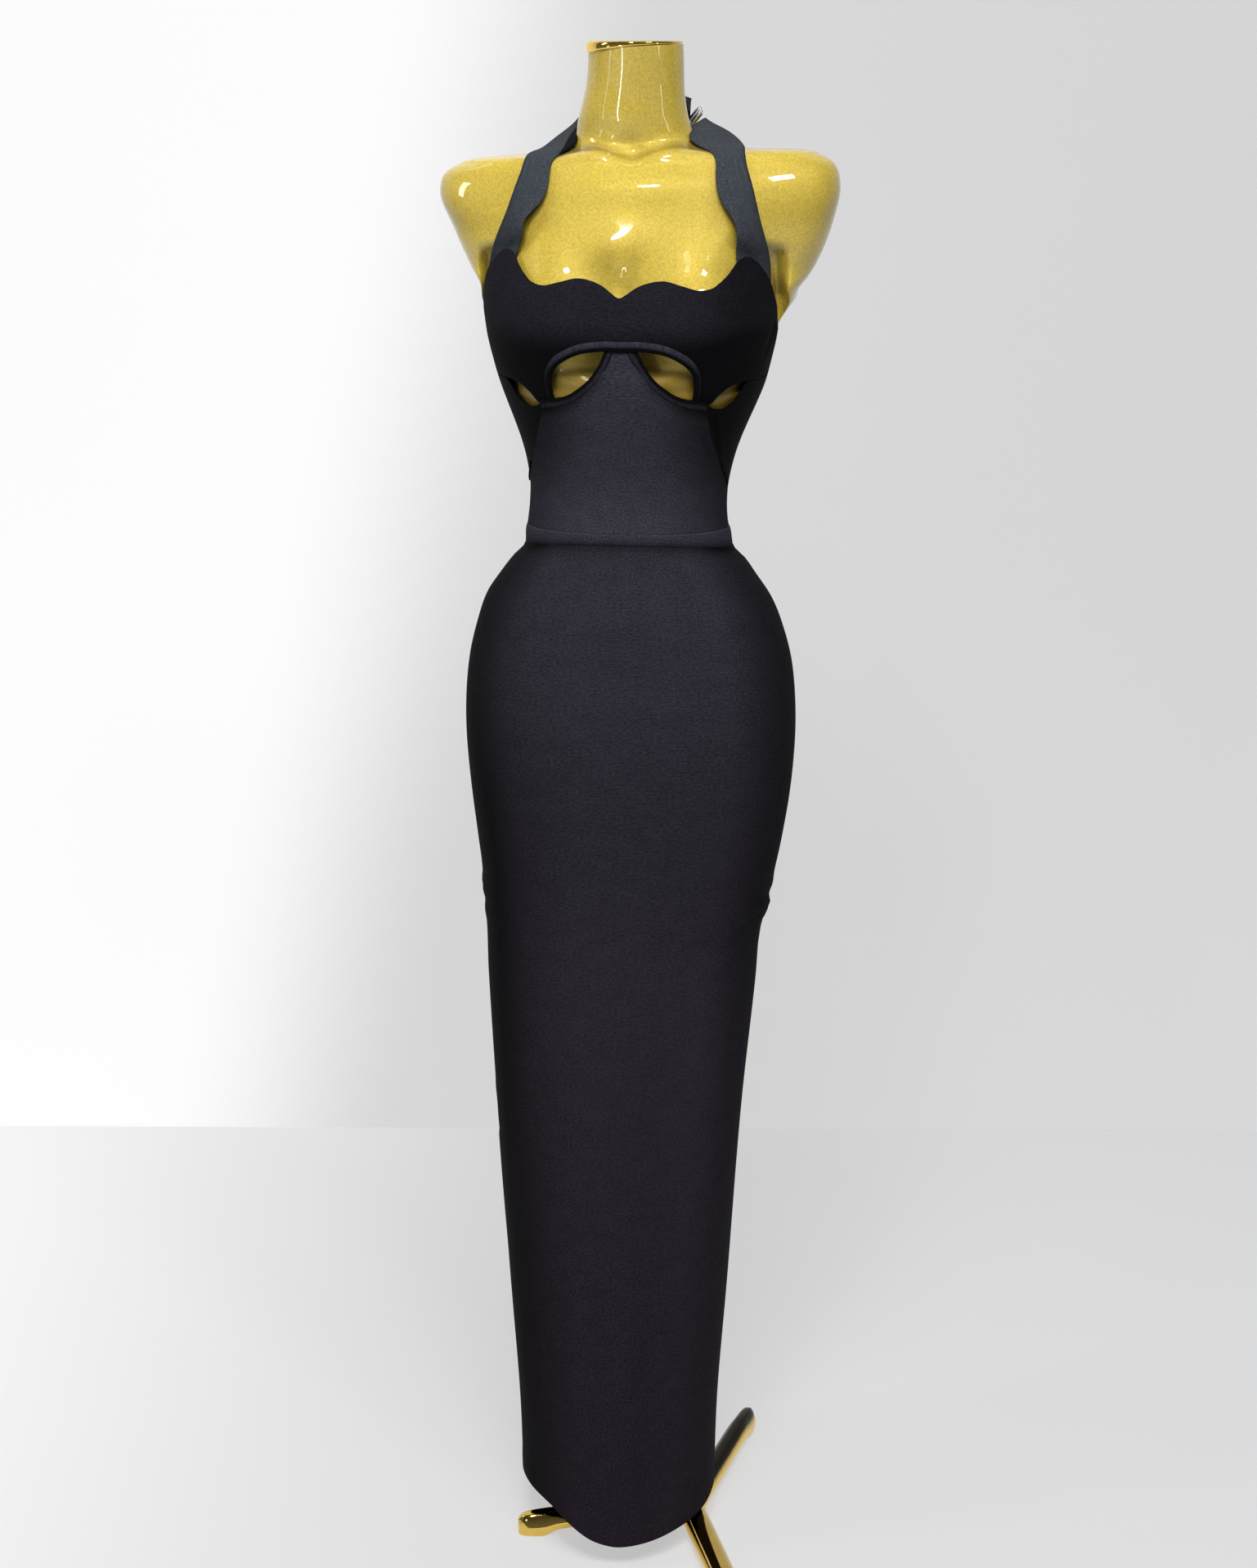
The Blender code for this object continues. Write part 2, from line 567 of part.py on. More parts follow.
def turn_to(height, x):
    """The angle on the dress's back at a distance x to the side of the centre back."""
    _, width, _, _, _, power = eased(DRESS, height)
    return BACK_ANGLE - math.degrees(math.asin((x / width) ** (power / 2)))


def back_angles(height, columns):
    """Angles from the side seam to the zip, with one at the tape's edge."""
    start, tape = SIDE_ANGLE + SEAM_ANGLE, turn_to(height, ZIP_TAPE_WIDTH / 2)
    angles = [start + (tape - start) * i / (columns - 1) for i in range(columns)]
    return angles + [turn_to(height, ZIP_CHAIN_WIDTH / 2 + GAP)]


def bodice_back_heights():
    """Heights of the back panel's rows along the zip."""
    low = WAIST_SEAM + SEAM_GAP / 2
    return [low + (BACK_TOP - low) * r / BODICE_BACK_ROWS for r in range(BODICE_BACK_ROWS + 1)]


def make_bodice_back(name, side, cloth):
    """Half of the plain back, from the side seam to the zip."""
    heights = bodice_back_heights()
    lines = []
    for height in heights:
        share = (height - heights[0]) / (heights[-1] - heights[0])
        line = []
        for angle in back_angles(height, 9):
            top = eased(BACK_EDGE, angle)[1]
            line.append((side * angle, heights[0] + (top - heights[0]) * share))
        lines.append(line)
    return panel(name, lines, cloth)


def waistband_heights(angle):
    """The waistband's lower and upper edge."""
    middle = waist_line(angle)
    return middle - WAISTBAND_HEIGHT + SEAM_GAP / 2, middle - SEAM_GAP / 2


def make_waistband_front(cloth):
    """The front of the narrow waistband between the bodice and the skirt."""
    side = SIDE_ANGLE - SEAM_ANGLE
    angles = [-side + 2 * side * i / 20 for i in range(21)]
    lines = [[(a, waistband_heights(a)[k]) for a in angles] for k in (0, 1)]
    return panel("waistband_front", lines, cloth, out=WAISTBAND_PROUD)


def make_waistband_back(name, side, cloth):
    """Half of the back of the waistband, from the side seam to the zip."""
    lines = []
    for height in waistband_heights(BACK_ANGLE):
        lines.append([(side * a, height) for a in back_angles(height, 9)])
    return panel(name, lines, cloth, out=WAISTBAND_PROUD)


def hem_line(angle):
    """The hem's height: lowest at the front, and lower on the +X side."""
    return eased(HEM, angle)[1]


def skirt_lines(angles_at):
    """Rows of a skirt panel from the hem to the waistband."""
    heights = [HEM_SIDE] + list(SKIRT_HEIGHTS) + [WAIST_SEAM - WAISTBAND_HEIGHT]
    lines = []
    for r, height in enumerate(heights):
        angles = angles_at(height)
        if r == 0:
            lines.append([(a, hem_line(a)) for a in angles])
        elif r == len(heights) - 1:
            lines.append([(a, waist_line(a) - WAISTBAND_HEIGHT - SEAM_GAP / 2) for a in angles])
        else:
            lines.append([(a, height) for a in angles])
    return lines


def make_skirt_front(cloth):
    """The front of the skirt, from side seam to side seam."""
    side = SIDE_ANGLE - SEAM_ANGLE
    angles = [-side + 2 * side * i / 20 for i in range(21)]
    return panel("skirt_front", skirt_lines(lambda height: angles), cloth)


def make_skirt_back(name, side, cloth):
    """Half of the back of the skirt: a closed seam below the zip and a slot for it above."""
    def angles_at(height):
        angles = back_angles(height, 9)
        if height < ZIP_BOTTOM - ZIP_STOP:
            angles[-1] = turn_to(height, SEAM_GAP / 2)
        return [side * a for a in angles]
    return panel(name, skirt_lines(angles_at), cloth)


def grid_normal(grid, r, c):
    """The normal of a grid of points at one of them."""
    rows, columns = len(grid), len(grid[0])
    along = grid[min(r + 1, rows - 1)][c] - grid[max(r - 1, 0)][c]
    across = grid[r][min(c + 1, columns - 1)] - grid[r][max(c - 1, 0)]
    return unit(np.cross(across, along))


def strap_grid(side):
    """Lines across a strap, from behind the cup to the nape, before it is laid on the form."""
    grid = []
    shares = [k / STRAP_ACROSS for k in range(STRAP_ACROSS + 1)]
    for outer_angle, inner_angle, above in STRAP_BASE:
        line = []
        for share in shares:
            angle = outer_angle + (inner_angle - outer_angle) * share
            height = neckline(angle)
            height += tilt(side * angle, height) + above
            line.append(dress_point(side * angle, height, -STRAP_DEPTH))
        grid.append(np.concatenate(line))
    for row in STRAP:
        outer = worn(np.array(row[:3]) * (side, 1, 1))
        inner = worn(np.array(row[3:]) * (side, 1, 1))
        grid.append(np.concatenate([outer + (inner - outer) * share for share in shares]))
    return np.column_stack([np.arange(len(grid)), np.array(grid)])


def strap_line(grid, at, form):
    """The line across a strap at a row's number, kept clear of the form."""
    line = []
    for point in eased(grid, at)[1:].reshape(-1, 3):
        for _ in range(2):
            spot, normal, _, _ = form.find_nearest(point)
            spot, normal = np.array(spot), np.array(normal)
            short = CLOTH / 2 + STRAP_CLEAR - (point - spot).dot(normal)
            point = point + normal * max(0.0, short)
        line.append(point)
    return line


def strap_lines(grid, first, last, steps, form):
    """Lines across a strap between two of its rows."""
    return [strap_line(grid, first + (last - first) * i / steps, form) for i in range(steps + 1)]


def make_strap(name, lines, cloth):
    """A flat strap through lines of points, thickened to both sides."""
    faces = [[], []]
    for r, line in enumerate(lines):
        normals = [grid_normal(lines, r, c) for c in range(len(line))]
        faces[0].append([p + n * CLOTH / 2 for p, n in zip(line, normals)])
        faces[1].append([p - n * CLOTH / 2 for p, n in zip(line, normals)])
    return wall(name, faces[0], faces[1], cloth)


def form_tree(form):
    """The form's faces, for finding the nearest point on them."""
    corners = [vertex.co.copy() for vertex in form.data.vertices]
    return BVHTree.FromPolygons(corners, [tuple(face.vertices) for face in form.data.polygons])


def clasp_frame(grid, form):
    """Where the clasp sits on the +X strap: its centre, and its length, height and depth."""
    middle = STRAP_ACROSS // 2
    line = strap_line(grid, STRAP_SPLIT, form)
    before = strap_line(grid, STRAP_SPLIT - 0.4, form)
    after = strap_line(grid, STRAP_SPLIT + 0.4, form)
    along = unit(after[middle] - before[middle])
    up = line[0] - line[-1]
    up = unit(up - along * up.dot(along))
    return line[middle], along, up, unit(np.cross(along, up))


def strap_stop(grid, form, frame, step):
    """The row's number at which a strap clears the clasp, going from it by small steps."""
    centre, along, _, _ = frame
    at = STRAP_SPLIT
    while True:
        line = strap_line(grid, at, form)
        if min(abs((point - centre).dot(along)) for point in line) > CLASP_HALF_LENGTH + CLASP_SPACE:
            return at
        at += step


def make_straps(cloth, silver, form):
    """The halter: the left strap passes round the nape and clasps to the right one."""
    tree = form_tree(form)
    nape = len(STRAP_BASE) + len(STRAP) - 1
    left, right = strap_grid(-1), strap_grid(1)
    frame = clasp_frame(right, tree)
    centre, along, up, out = frame
    long_end = strap_stop(right, tree, frame, STOP_STEP)
    short_end = strap_stop(right, tree, frame, -STOP_STEP)
    lines = strap_lines(left, 0, nape, round(STRAP_STEPS * nape), tree)
    lines += strap_lines(right, nape, long_end, 5, tree)[1:]
    make_strap("strap_left", lines, cloth)
    lines = strap_lines(right, 0, short_end, round(STRAP_STEPS * STRAP_SPLIT), tree)
    make_strap("strap_right", lines, cloth)
    rings = []
    for end, size in ((-1, 0.92), (-0.9, 1.0), (0.9, 1.0), (1, 0.92)):
        ring = []
        for k in range(16):
            tall, deep = boxy(math.tau * (k + 0.5) / 16)
            ring.append(centre + along * end * CLASP_HALF_LENGTH
                        + up * tall * CLASP_HALF_HEIGHT * size
                        + out * deep * CLASP_THICK / 2 * size)
        rings.append(ring)
    loft("neck_clasp", rings, silver)


def boxy(turn):
    """A point of a round-cornered square, two units across."""
    c, s = math.cos(turn), math.sin(turn)
    return math.copysign(abs(c) ** CLASP_ROUND, c), math.copysign(abs(s) ** CLASP_ROUND, s)


# ---- zip ---------------------------------------------------------------------------------
def zip_heights(low, high):
    """Heights of the rows along the zip: those of the panels beside it."""
    heights = list(SKIRT_HEIGHTS) + [waist_line(BACK_ANGLE) - WAISTBAND_HEIGHT - SEAM_GAP / 2]
    heights += list(waistband_heights(BACK_ANGLE)) + bodice_back_heights()
    return [low] + [z for z in heights if low + 0.001 < z < high - 0.001] + [high]


def back_strip(name, spots, low, high, out, thick, look):
    """A narrow strip along the centre back, on the dress's face moved out."""
    lines = []
    for height in zip_heights(low, high):
        right = [turn_to(height, x) for x in spots]
        lines.append(right + [BACK_ANGLE] + [2 * BACK_ANGLE - a for a in reversed(right)])
    grids = []
    for depth in (out, out - thick):
        grid = []
        for height, angles in zip(zip_heights(low, high), lines):
            grid.append([dress_point(a, height, depth) for a in angles])
        grids.append(grid)
    return wall(name, grids[0], grids[1], look)


def block(centre, half, sections):
    """Rings of a soft-edged block: sections of (share of its height, share of its size)."""
    rings = []
    for share, size in sections:
        ring = []
        for k in range(12):
            across, deep = boxy(math.tau * (k + 0.5) / 12)
            ring.append(centre + np.array([across * half[0] * size, deep * half[1] * size,
                                           share * half[2]]))
        rings.append(ring)
    return rings


def pull_axis():
    """Where the zip's pull hinges."""
    height = BACK_TOP - PULL_BELOW_TOP
    face = dress_point(BACK_ANGLE, height, CHAIN_PROUD)[1]
    return np.array([0.0, face + 2 * SLIDER_HALF[1] + SLIDER_SPACE + PIN_CLEAR, height])


def ring_about_x(centre, radius, x, count):
    """A ring of points about the X axis."""
    points = []
    for k in range(count):
        turn = math.tau * (k + 0.5) / count
        points.append((x, centre[1] + radius * math.cos(turn), centre[2] + radius * math.sin(turn)))
    return points


def combine(target, other, operation):
    """Add another solid to an object, or cut it away."""
    modifier = target.modifiers.new("shape", "BOOLEAN")
    modifier.operation = operation
    modifier.solver = "EXACT"
    modifier.object = other
    other.hide_render = True
    other.display_type = "WIRE"


def make_zip(zip_cloth, silver):
    """Tape, chain, slider and pull of the zip at the centre back."""
    half_tape, half_chain = ZIP_TAPE_WIDTH / 2 - GAP, ZIP_CHAIN_WIDTH / 2
    back_strip("zip_tape", (half_tape, half_chain + GAP), ZIP_BOTTOM - ZIP_TAPE_BELOW,
               BACK_TOP - 0.002, -CLOTH - GAP, ZIP_TAPE_THICK, zip_cloth)
    back_strip("zip_chain", (half_chain,), ZIP_BOTTOM, BACK_TOP - 0.004,
               CHAIN_PROUD, CHAIN_THICK, zip_cloth)
    axis = pull_axis()
    face = dress_point(BACK_ANGLE, axis[2], CHAIN_PROUD)[1]
    centre = np.array([0.0, face + SLIDER_SPACE + SLIDER_HALF[1], axis[2]])
    sections = ((-1.0, 0.60), (-0.8, 0.85), (0.2, 1.0), (0.8, 1.0), (1.0, 0.85))
    slider = loft("zip_slider", block(centre, SLIDER_HALF, sections), silver)
    ear_x = PULL_HALF_WIDTH + EAR_SPACE + EAR_HALF[0]
    for k, side in enumerate((-1, 1)):
        middle = np.array([side * ear_x, axis[1] + PIN_RADIUS + 0.0006 - EAR_HALF[1], axis[2]])
        ear = loft(f"solid_ear_{k}", block(middle, EAR_HALF, ((-1, 1), (1, 1))), silver)
        combine(slider, ear, "UNION")
    pin = [ring_about_x(axis, PIN_RADIUS, x, 10) for x in (-ear_x, ear_x)]
    combine(slider, loft("solid_pin", pin, silver), "UNION")
    make_pull(axis, silver)


def make_pull(axis, silver):
    """The pull tab: a flat plate with a rolled eye round the slider's pin."""
    rings = []
    for drop, half in PULL_SECTIONS:
        corners = ((-half, -PULL_THICK / 2), (half, -PULL_THICK / 2),
                   (half, PULL_THICK / 2), (-half, PULL_THICK / 2))
        rings.append([(x, y, -drop) for x, y in corners])
    pull = loft("zip_pull", rings, silver)
    pull.location = axis
    for name, radius, reach, operation in (
            ("solid_eye", EYE_RIM, PULL_HALF_WIDTH, "UNION"),
            ("cutter_eye", EYE_RADIUS, 2 * PULL_HALF_WIDTH, "DIFFERENCE")):
        rings = [ring_about_x(axis, radius, x, 16) for x in (-reach, reach)]
        combine(pull, loft(name, rings, silver), operation)


# ---- form --------------------------------------------------------------------------------
def band_edge(height):
    """The angle beyond which the bust band has ended at a height above its side seam."""
    edge = [(row[2], row[3]) for row in BAND_CUP if row[3] < 1.412]
    falling = sorted((z, a) for a, z in edge if a > 57)
    return float(np.interp(height, [z for z, _ in falling], [a for _, a in falling]))


def neckline(angle):
    """The neckline's height at an angle."""
    rows = [(row[4], row[5]) for row in BAND_ARCH] + [(row[2], row[3]) for row in BAND_CUP]
    return float(np.interp(abs(angle), [a for a, _ in rows], [z for _, z in rows]))


def cloth_limit(x, height):
    """How far forward the form may come behind the bust band: the least y."""
    _, width, front, _, _, power = eased(DRESS, height)
    width, front = width - SIDE_SPACE, front - CUP_SPACE
    angle = math.degrees(math.asin(min(1.0, abs(x) / width) ** (power / 2)))
    angle = min(angle, band_edge(height - CUP_MARGIN) + EDGE_BEYOND)
    cloth_top = max(neckline(angle), STRAP_FOOT * smooth(abs(x), *STRAP_FOOT_FROM))
    above = max(0.0, height - CUP_MARGIN - cloth_top)
    depth = front * math.cos(math.radians(angle)) ** (2 / power)
    return -depth - above * FORM_SWELL


def form_section(height):
    """The form's plain section: width, front, back, shift to +X, line towards +Y, squareness."""
    _, width, front, back, shift, power = eased(DRESS, height)
    inset = CLOTH + EASE
    low = np.array([width - inset, front - inset, back - inset, shift, 0.0, power])
    _, width, front, back, line, power = eased(SHOULDERS, height)
    high = np.array([width, front, back, 0.0, line, power])
    return low + (high - low) * smooth(height, SHOULDERS[0][0] - 0.03, SHOULDERS[0][0])


def form_raw(angle, height):
    """A point of the dress form's face."""
    width, front, back, shift, line, power = form_section(height)
    x, y = squircle(angle, width, front, back, power)
    point = np.array([x + shift, y + line, height])
    facing = max(0.0, math.cos(math.radians(angle)))
    if facing > 0:
        reach = BUST_REACH_UP if height > BUST_HEIGHT else BUST_REACH_DOWN
        swell = BUST_FORWARD * math.exp(-((height - BUST_HEIGHT) / reach) ** 2)
        for side in (-1, 1):
            mound = math.exp(-((x - side * BUST_APART) / BUST_SPREAD) ** 2)
            point[1] -= swell * min(1.0, 3 * facing) * mound
        hollow = math.exp(-((height - RIB_HOLLOW_HEIGHT) / RIB_HOLLOW_REACH) ** 2)
        point[1] += RIB_HOLLOW * hollow * facing
        notch = math.exp(-((height - NECK_NOTCH_HEIGHT) / NECK_NOTCH_REACH) ** 2)
        point[1] += NECK_NOTCH_DEPTH * notch * facing * math.exp(-(x / NECK_NOTCH_WIDTH) ** 2)
        if SHOULDERS[0][0] - 0.03 < height < CLOTH_LIMIT_TOP:
            point[1] = soft_max(point[1], cloth_limit(x, height), LIMIT_ROUND)
    return point


def soft_max(a, b, reach):
    """The larger of two values, rounded where they meet."""
    return (a + b + math.sqrt((a - b) ** 2 + reach ** 2)) / 2


def make_form(gold):
    """The limbless form, from its cut thighs to its neck, with its arms cut off flat."""
    rings = []
    half = list(FORM_FRONT) + [FORM_FRONT[-1] + (180 - FORM_FRONT[-1]) * (k + 1) / FORM_BACK_STEPS
                               for k in range(FORM_BACK_STEPS)]
    angles = half + [360 - angle for angle in reversed(half[1:-1])]
    for height in FORM_HEIGHTS:
        rings.append([form_raw(angle, height) for angle in angles])
    form = loft("form_torso", rings, gold)
    bm = bmesh.new()
    bm.from_mesh(form.data)
    for side, x, height, slope in ARM_CUTS:
        point, normal = (side * x, 0.0, height), (side, 0.0, -slope)
        faces = [f for f in bm.faces if min(v.co.z for v in f.verts) > ARM_CUT_FROM]
        region = set(faces)
        for face in faces:
            region.update(face.verts)
            region.update(face.edges)
        cut = bmesh.ops.bisect_plane(bm, geom=list(region), plane_co=point, plane_no=normal,
                                     clear_outer=True, dist=1e-5)
        edges = [e for e in cut["geom_cut"] if isinstance(e, bmesh.types.BMEdge)]
        bmesh.ops.contextual_create(bm, geom=edges)
    for vertex in bm.verts:
        vertex.co = lean(vertex.co)
    bmesh.ops.recalc_face_normals(bm, faces=bm.faces)
    bm.to_mesh(form.data)
    bm.free()
    form.data.shade_smooth()
    form.data.set_sharp_from_angle(angle=math.radians(40))
    return form


def make_neck_cap(chrome):
    """The polished cap on the neck, a little proud of it, thicker towards -X."""
    _, width, front, back, line, power = eased(SHOULDERS, NECK_TOP)
    rings = []
    for share, size in CAP_SECTIONS:
        ring = []
        for k in range(32):
            x, y = squircle(360 * k / 32, width * size, front * size, back * size, power)
            low = lean(np.array([x, y + line, NECK_TOP]))[2] + GAP
            ring.append((x, y + line, low + (CAP_TOP - low) * share))
        rings.append(ring)
    return loft("neck_cap", rings, chrome)


# ---- stand -------------------------------------------------------------------------------
def turned(name, profile, look, count=28):
    """A turned piece about the pole's line: rows of (radius, height)."""
    rings = []
    for radius, height in profile:
        ring = []
        for k in range(count):
            turn = math.tau * k / count
            ring.append((POLE_X + radius * math.cos(turn), POLE_Y + radius * math.sin(turn), height))
        rings.append(ring)
    return loft(name, rings, look)


def make_stand(chrome):
    """Hub, pole and socket of the stand, with its three arms."""
    turned("stand_hub", [
        (HUB_RADIUS - 0.002, HUB_FOOT), (HUB_RADIUS, HUB_FOOT + 0.002),
        (HUB_RADIUS, HUB_TOP - 0.004), (HUB_RADIUS - 0.003, HUB_TOP)], chrome)
    turned("stand_pole", [
        (POLE_RADIUS, HUB_TOP + GAP), (POLE_RADIUS, FORM_FOOT - SOCKET_HEIGHT - GAP)], chrome, 24)
    turned("form_socket", [
        (0.019, FORM_FOOT - SOCKET_HEIGHT), (0.021, FORM_FOOT - SOCKET_HEIGHT + 0.002),
        (0.021, FORM_FOOT - 0.0050), (0.032, FORM_FOOT - 0.0035), (0.032, FORM_FOOT - GAP)], chrome)
    for name, direction, reach in ARMS:
        make_arm(name, direction, reach, chrome)


def make_arm(name, direction, reach, chrome):
    """An arm that runs out from the hub: a ridged bar that arches down to a flat foot."""
    turn = math.radians(direction)
    along = np.array([math.cos(turn), math.sin(turn), 0.0])
    across = np.array([-math.sin(turn), math.cos(turn), 0.0])
    hub = np.array([POLE_X, POLE_Y, 0.0])
    start = HUB_RADIUS + GAP
    rings = []
    for share, half, foot, top in ARM_SECTIONS:
        centre = hub + along * (start + (reach - start) * share)
        ring = []
        for side, rise in ARM_PROFILE:
            ring.append(centre + across * half * side + np.array([0, 0, foot + (top - foot) * rise]))
        rings.append(ring)
    return loft(name, rings, chrome)


# ---- everything --------------------------------------------------------------------------
def main():
    """Clear the scene and build every piece."""
    for old in list(bpy.data.objects):
        bpy.data.objects.remove(old, do_unlink=True)
    cloth, gold, chrome = BANDAGE_KNIT, GOLD_PAINT, GOLD_CHROME
    silver, zip_cloth = SILVER_METAL, ZIP_TAPE_CLOTH
    form = make_form(gold)
    make_bust_band(cloth)
    arch_binding(cloth)
    make_midriff_front(cloth)
    make_waistband_front(cloth)
    make_skirt_front(cloth)
    for side, word in ((-1, "left"), (1, "right")):
        make_midriff_side(f"midriff_side_{word}", side, cloth)
        make_bodice_back(f"bodice_back_{word}", side, cloth)
        make_waistband_back(f"waistband_back_{word}", side, cloth)
        make_skirt_back(f"skirt_back_{word}", side, cloth)
        swoop = [(side * a, b, side * c, d) for a, b, c, d in refined(SWOOP, 2)]
        rolled_strip(f"swoop_binding_{word}", swoop, cloth, SWOOP_THICK)
    make_straps(cloth, silver, form)
    make_zip(zip_cloth, silver)
    make_neck_cap(chrome)
    make_stand(chrome)
    for made in bpy.data.objects:
        made.location.x += FIGURE_SIDE
        made.location.y += FIGURE_BACK


main()
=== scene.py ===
"""A halter bodycon dress of heavy black knit, worn by a gold dress form on its stand.

Laid out as a Blender add-on: its property groups hold the sizes and colours that a user would
change, each operator makes one piece or one group of like pieces, and main() runs them all.
Everything is in metres in the frame's own axes, +Z up, with the dress facing -Y.

The dress is a tube of knit.  Its outer face is a stack of rounded sections, one row of DRESS
for each height, and a point on it is named by an angle round the body (0 at the centre front,
90 at the right-hand side, 180 at the centre back) and a height.
"""
import math

import bpy
import numpy as np
from bpy.props import FloatProperty, FloatVectorProperty, PointerProperty
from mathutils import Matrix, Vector
from mathutils.bvhtree import BVHTree


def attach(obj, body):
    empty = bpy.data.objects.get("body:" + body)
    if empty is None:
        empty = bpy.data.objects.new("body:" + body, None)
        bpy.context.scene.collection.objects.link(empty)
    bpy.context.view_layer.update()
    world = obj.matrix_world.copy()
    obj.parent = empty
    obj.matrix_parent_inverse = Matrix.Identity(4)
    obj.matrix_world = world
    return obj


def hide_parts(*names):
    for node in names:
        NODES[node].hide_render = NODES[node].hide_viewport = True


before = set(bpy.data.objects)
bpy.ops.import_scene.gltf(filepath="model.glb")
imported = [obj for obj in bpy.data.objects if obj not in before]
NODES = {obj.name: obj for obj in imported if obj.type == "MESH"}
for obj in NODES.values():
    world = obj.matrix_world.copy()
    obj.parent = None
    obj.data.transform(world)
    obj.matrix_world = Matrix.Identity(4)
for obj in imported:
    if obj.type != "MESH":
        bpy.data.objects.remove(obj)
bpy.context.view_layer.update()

bl_info = {
    "name": "Halter Bodycon Dress",
    "version": (1, 0, 0),
    "blender": (4, 5, 0),
    "location": "3D View > Sidebar > Dress",
    "description": "A knit halter dress on a gold dress form and its stand",
    "category": "Object",
}

WORN = "dress_on_form"       # the body that everything but the zip's pull belongs to
FIGURE = np.array([-0.0044, 0.0239, 0.0])    # the figure's own middle in the frame

# ---- driving sizes of the dress, as in the frame's own source ------------------------------
EASE = 0.0026                # space between the cloth and the form
SIDE_ANGLE, BACK_ANGLE = 88.0, 180.0
SIDES = ((-1, "left"), (1, "right"))
# seams at the sides, and how much higher they are at the centre front
WAIST_SEAM, WAIST_RISE = 1.1365, 0.0033
CASING_FOOT, CASING_RISE = 1.1185, 0.0100
BACK_TOP = 1.334
# how far the worn neckline falls for each metre towards +X, fading in between two heights
WORN_TILT, TILT_FROM = 0.022, (1.355, 1.385)
# degrees by which the +X side is drawn wider, between these angles and these heights
WIDER = 1.4
WIDER_FROM, WIDER_TO = (0.0, 5.0), (60.0, 86.0)
WIDER_ABOVE, WIDER_BELOW = (1.235, 1.262), (1.334, 1.366)
ARCH_THICK, SWOOP_THICK = 0.0036, 0.0024
ZIP_BOTTOM, ZIP_CHAIN_WIDTH, ZIP_TAPE_WIDTH = 0.9065, 0.0050, 0.024

FORM_FOOT, NECK_TOP, CAP_TOP = 0.722, 1.603, 1.6085
# space between the form and the cups, the band's sides and its edges, and degrees beyond its end
CUP_SPACE, SIDE_SPACE, CUP_MARGIN, EDGE_BEYOND = 0.0066, 0.0100, 0.0100, 9.0
# how far the form rises for each metre towards +X, and stands to +X, from these heights up
FORM_LEAN, FORM_LEAN_FROM = 0.032, (1.38, 1.47)
FORM_SHIFT, FORM_SHIFT_FROM = 0.0040, (1.39, 1.44)
NECK_LEAN, NECK_LEAN_FROM = 0.030, (1.54, 1.60)
NECK_UPRIGHT, NECK_UPRIGHT_FROM = 0.6, (1.505, 1.545)    # the share of that shift the neck loses
STRAP_FOOT, STRAP_FOOT_FROM = 1.400, (0.105, 0.125)
FORM_SWELL, CLOTH_LIMIT_TOP = 0.80, 1.470
BUST_APART, BUST_HEIGHT, BUST_FORWARD, BUST_SPREAD = 0.070, 1.337, 0.0310, 0.0440
BUST_REACH_UP, BUST_REACH_DOWN = 0.0720, 0.0420
RIB_HOLLOW, RIB_HOLLOW_HEIGHT, RIB_HOLLOW_REACH = 0.0042, 1.268, 0.030
NOTCH_DEPTH, NOTCH_REACH, NOTCH_WIDTH, NOTCH_HEIGHT = 0.0080, 0.0140, 0.0160, 1.506
ARM_CUT_FROM = 1.360         # only the arms are cut, not the hips below

POLE = np.array([0.074, -0.030])
POLE_RADIUS, SOCKET_HEIGHT, HUB_RADIUS, HUB_FOOT, HUB_TOP = 0.0125, 0.0145, 0.0175, 0.006, 0.036
GAP = 0.0003

# ---- the dress's outer face ------------------------------------------------------------
# height, half width, front depth, back depth, shift to +X, squareness of the section
DRESS = [
    (0.020, 0.1086, 0.1370, 0.1100, -0.0110, 2.00),
    (0.142, 0.1114, 0.1310, 0.1110, -0.0114, 2.00),
    (0.286, 0.1208, 0.1220, 0.1120, -0.0118, 2.00),
    (0.495, 0.1334, 0.1090, 0.1140, -0.0122, 2.00),
    (0.647, 0.1439, 0.1010, 0.1160, -0.0096, 2.00),
    (0.703, 0.1464, 0.0990, 0.1170, -0.0084, 2.00),
    (0.727, 0.1508, 0.0990, 0.1180, -0.0064, 2.00),
    (0.768, 0.1555, 0.1000, 0.1220, -0.0036, 2.00),
    (0.804, 0.1610, 0.1020, 0.1270, -0.0022, 2.00),
    (0.859, 0.1681, 0.1050, 0.1340, -0.0013, 2.00),
    (0.912, 0.1720, 0.1070, 0.1360, -0.0014, 2.00),
    (0.956, 0.1716, 0.1060, 0.1300, -0.0016, 2.00),
    (1.000, 0.1667, 0.1020, 0.1200, -0.0018, 2.00),
    (1.039, 0.1563, 0.0970, 0.1080, -0.0025, 2.00),
    (1.064, 0.1462, 0.0920, 0.0980, -0.0034, 2.00),
    (1.086, 0.1312, 0.0870, 0.0880, -0.0035, 2.00),
    (1.102, 0.1193, 0.0840, 0.0810, -0.0030, 2.00),
    (1.114, 0.1074, 0.0822, 0.0775, -0.0034, 2.00),
    (1.137, 0.1027, 0.0810, 0.0745, -0.0045, 2.00),
    (1.160, 0.1004, 0.0826, 0.0745, -0.0041, 2.02),
    (1.185, 0.1012, 0.0870, 0.0765, -0.0030, 2.05),
    (1.221, 0.1094, 0.0980, 0.0820, -0.0018, 2.10),
    (1.278, 0.1312, 0.1180, 0.0900, 0.0000, 2.20),
    (1.300, 0.1374, 0.1240, 0.0915, 0.0000, 2.30),
    (1.335, 0.1448, 0.1290, 0.0930, -0.0003, 2.35),
    (1.371, 0.1471, 0.1200, 0.0930, -0.0012, 2.30),
    (1.400, 0.1460, 0.1060, 0.0930, -0.0008, 2.20),
    (1.430, 0.1400, 0.0920, 0.0930, 0.0000, 2.10),
]

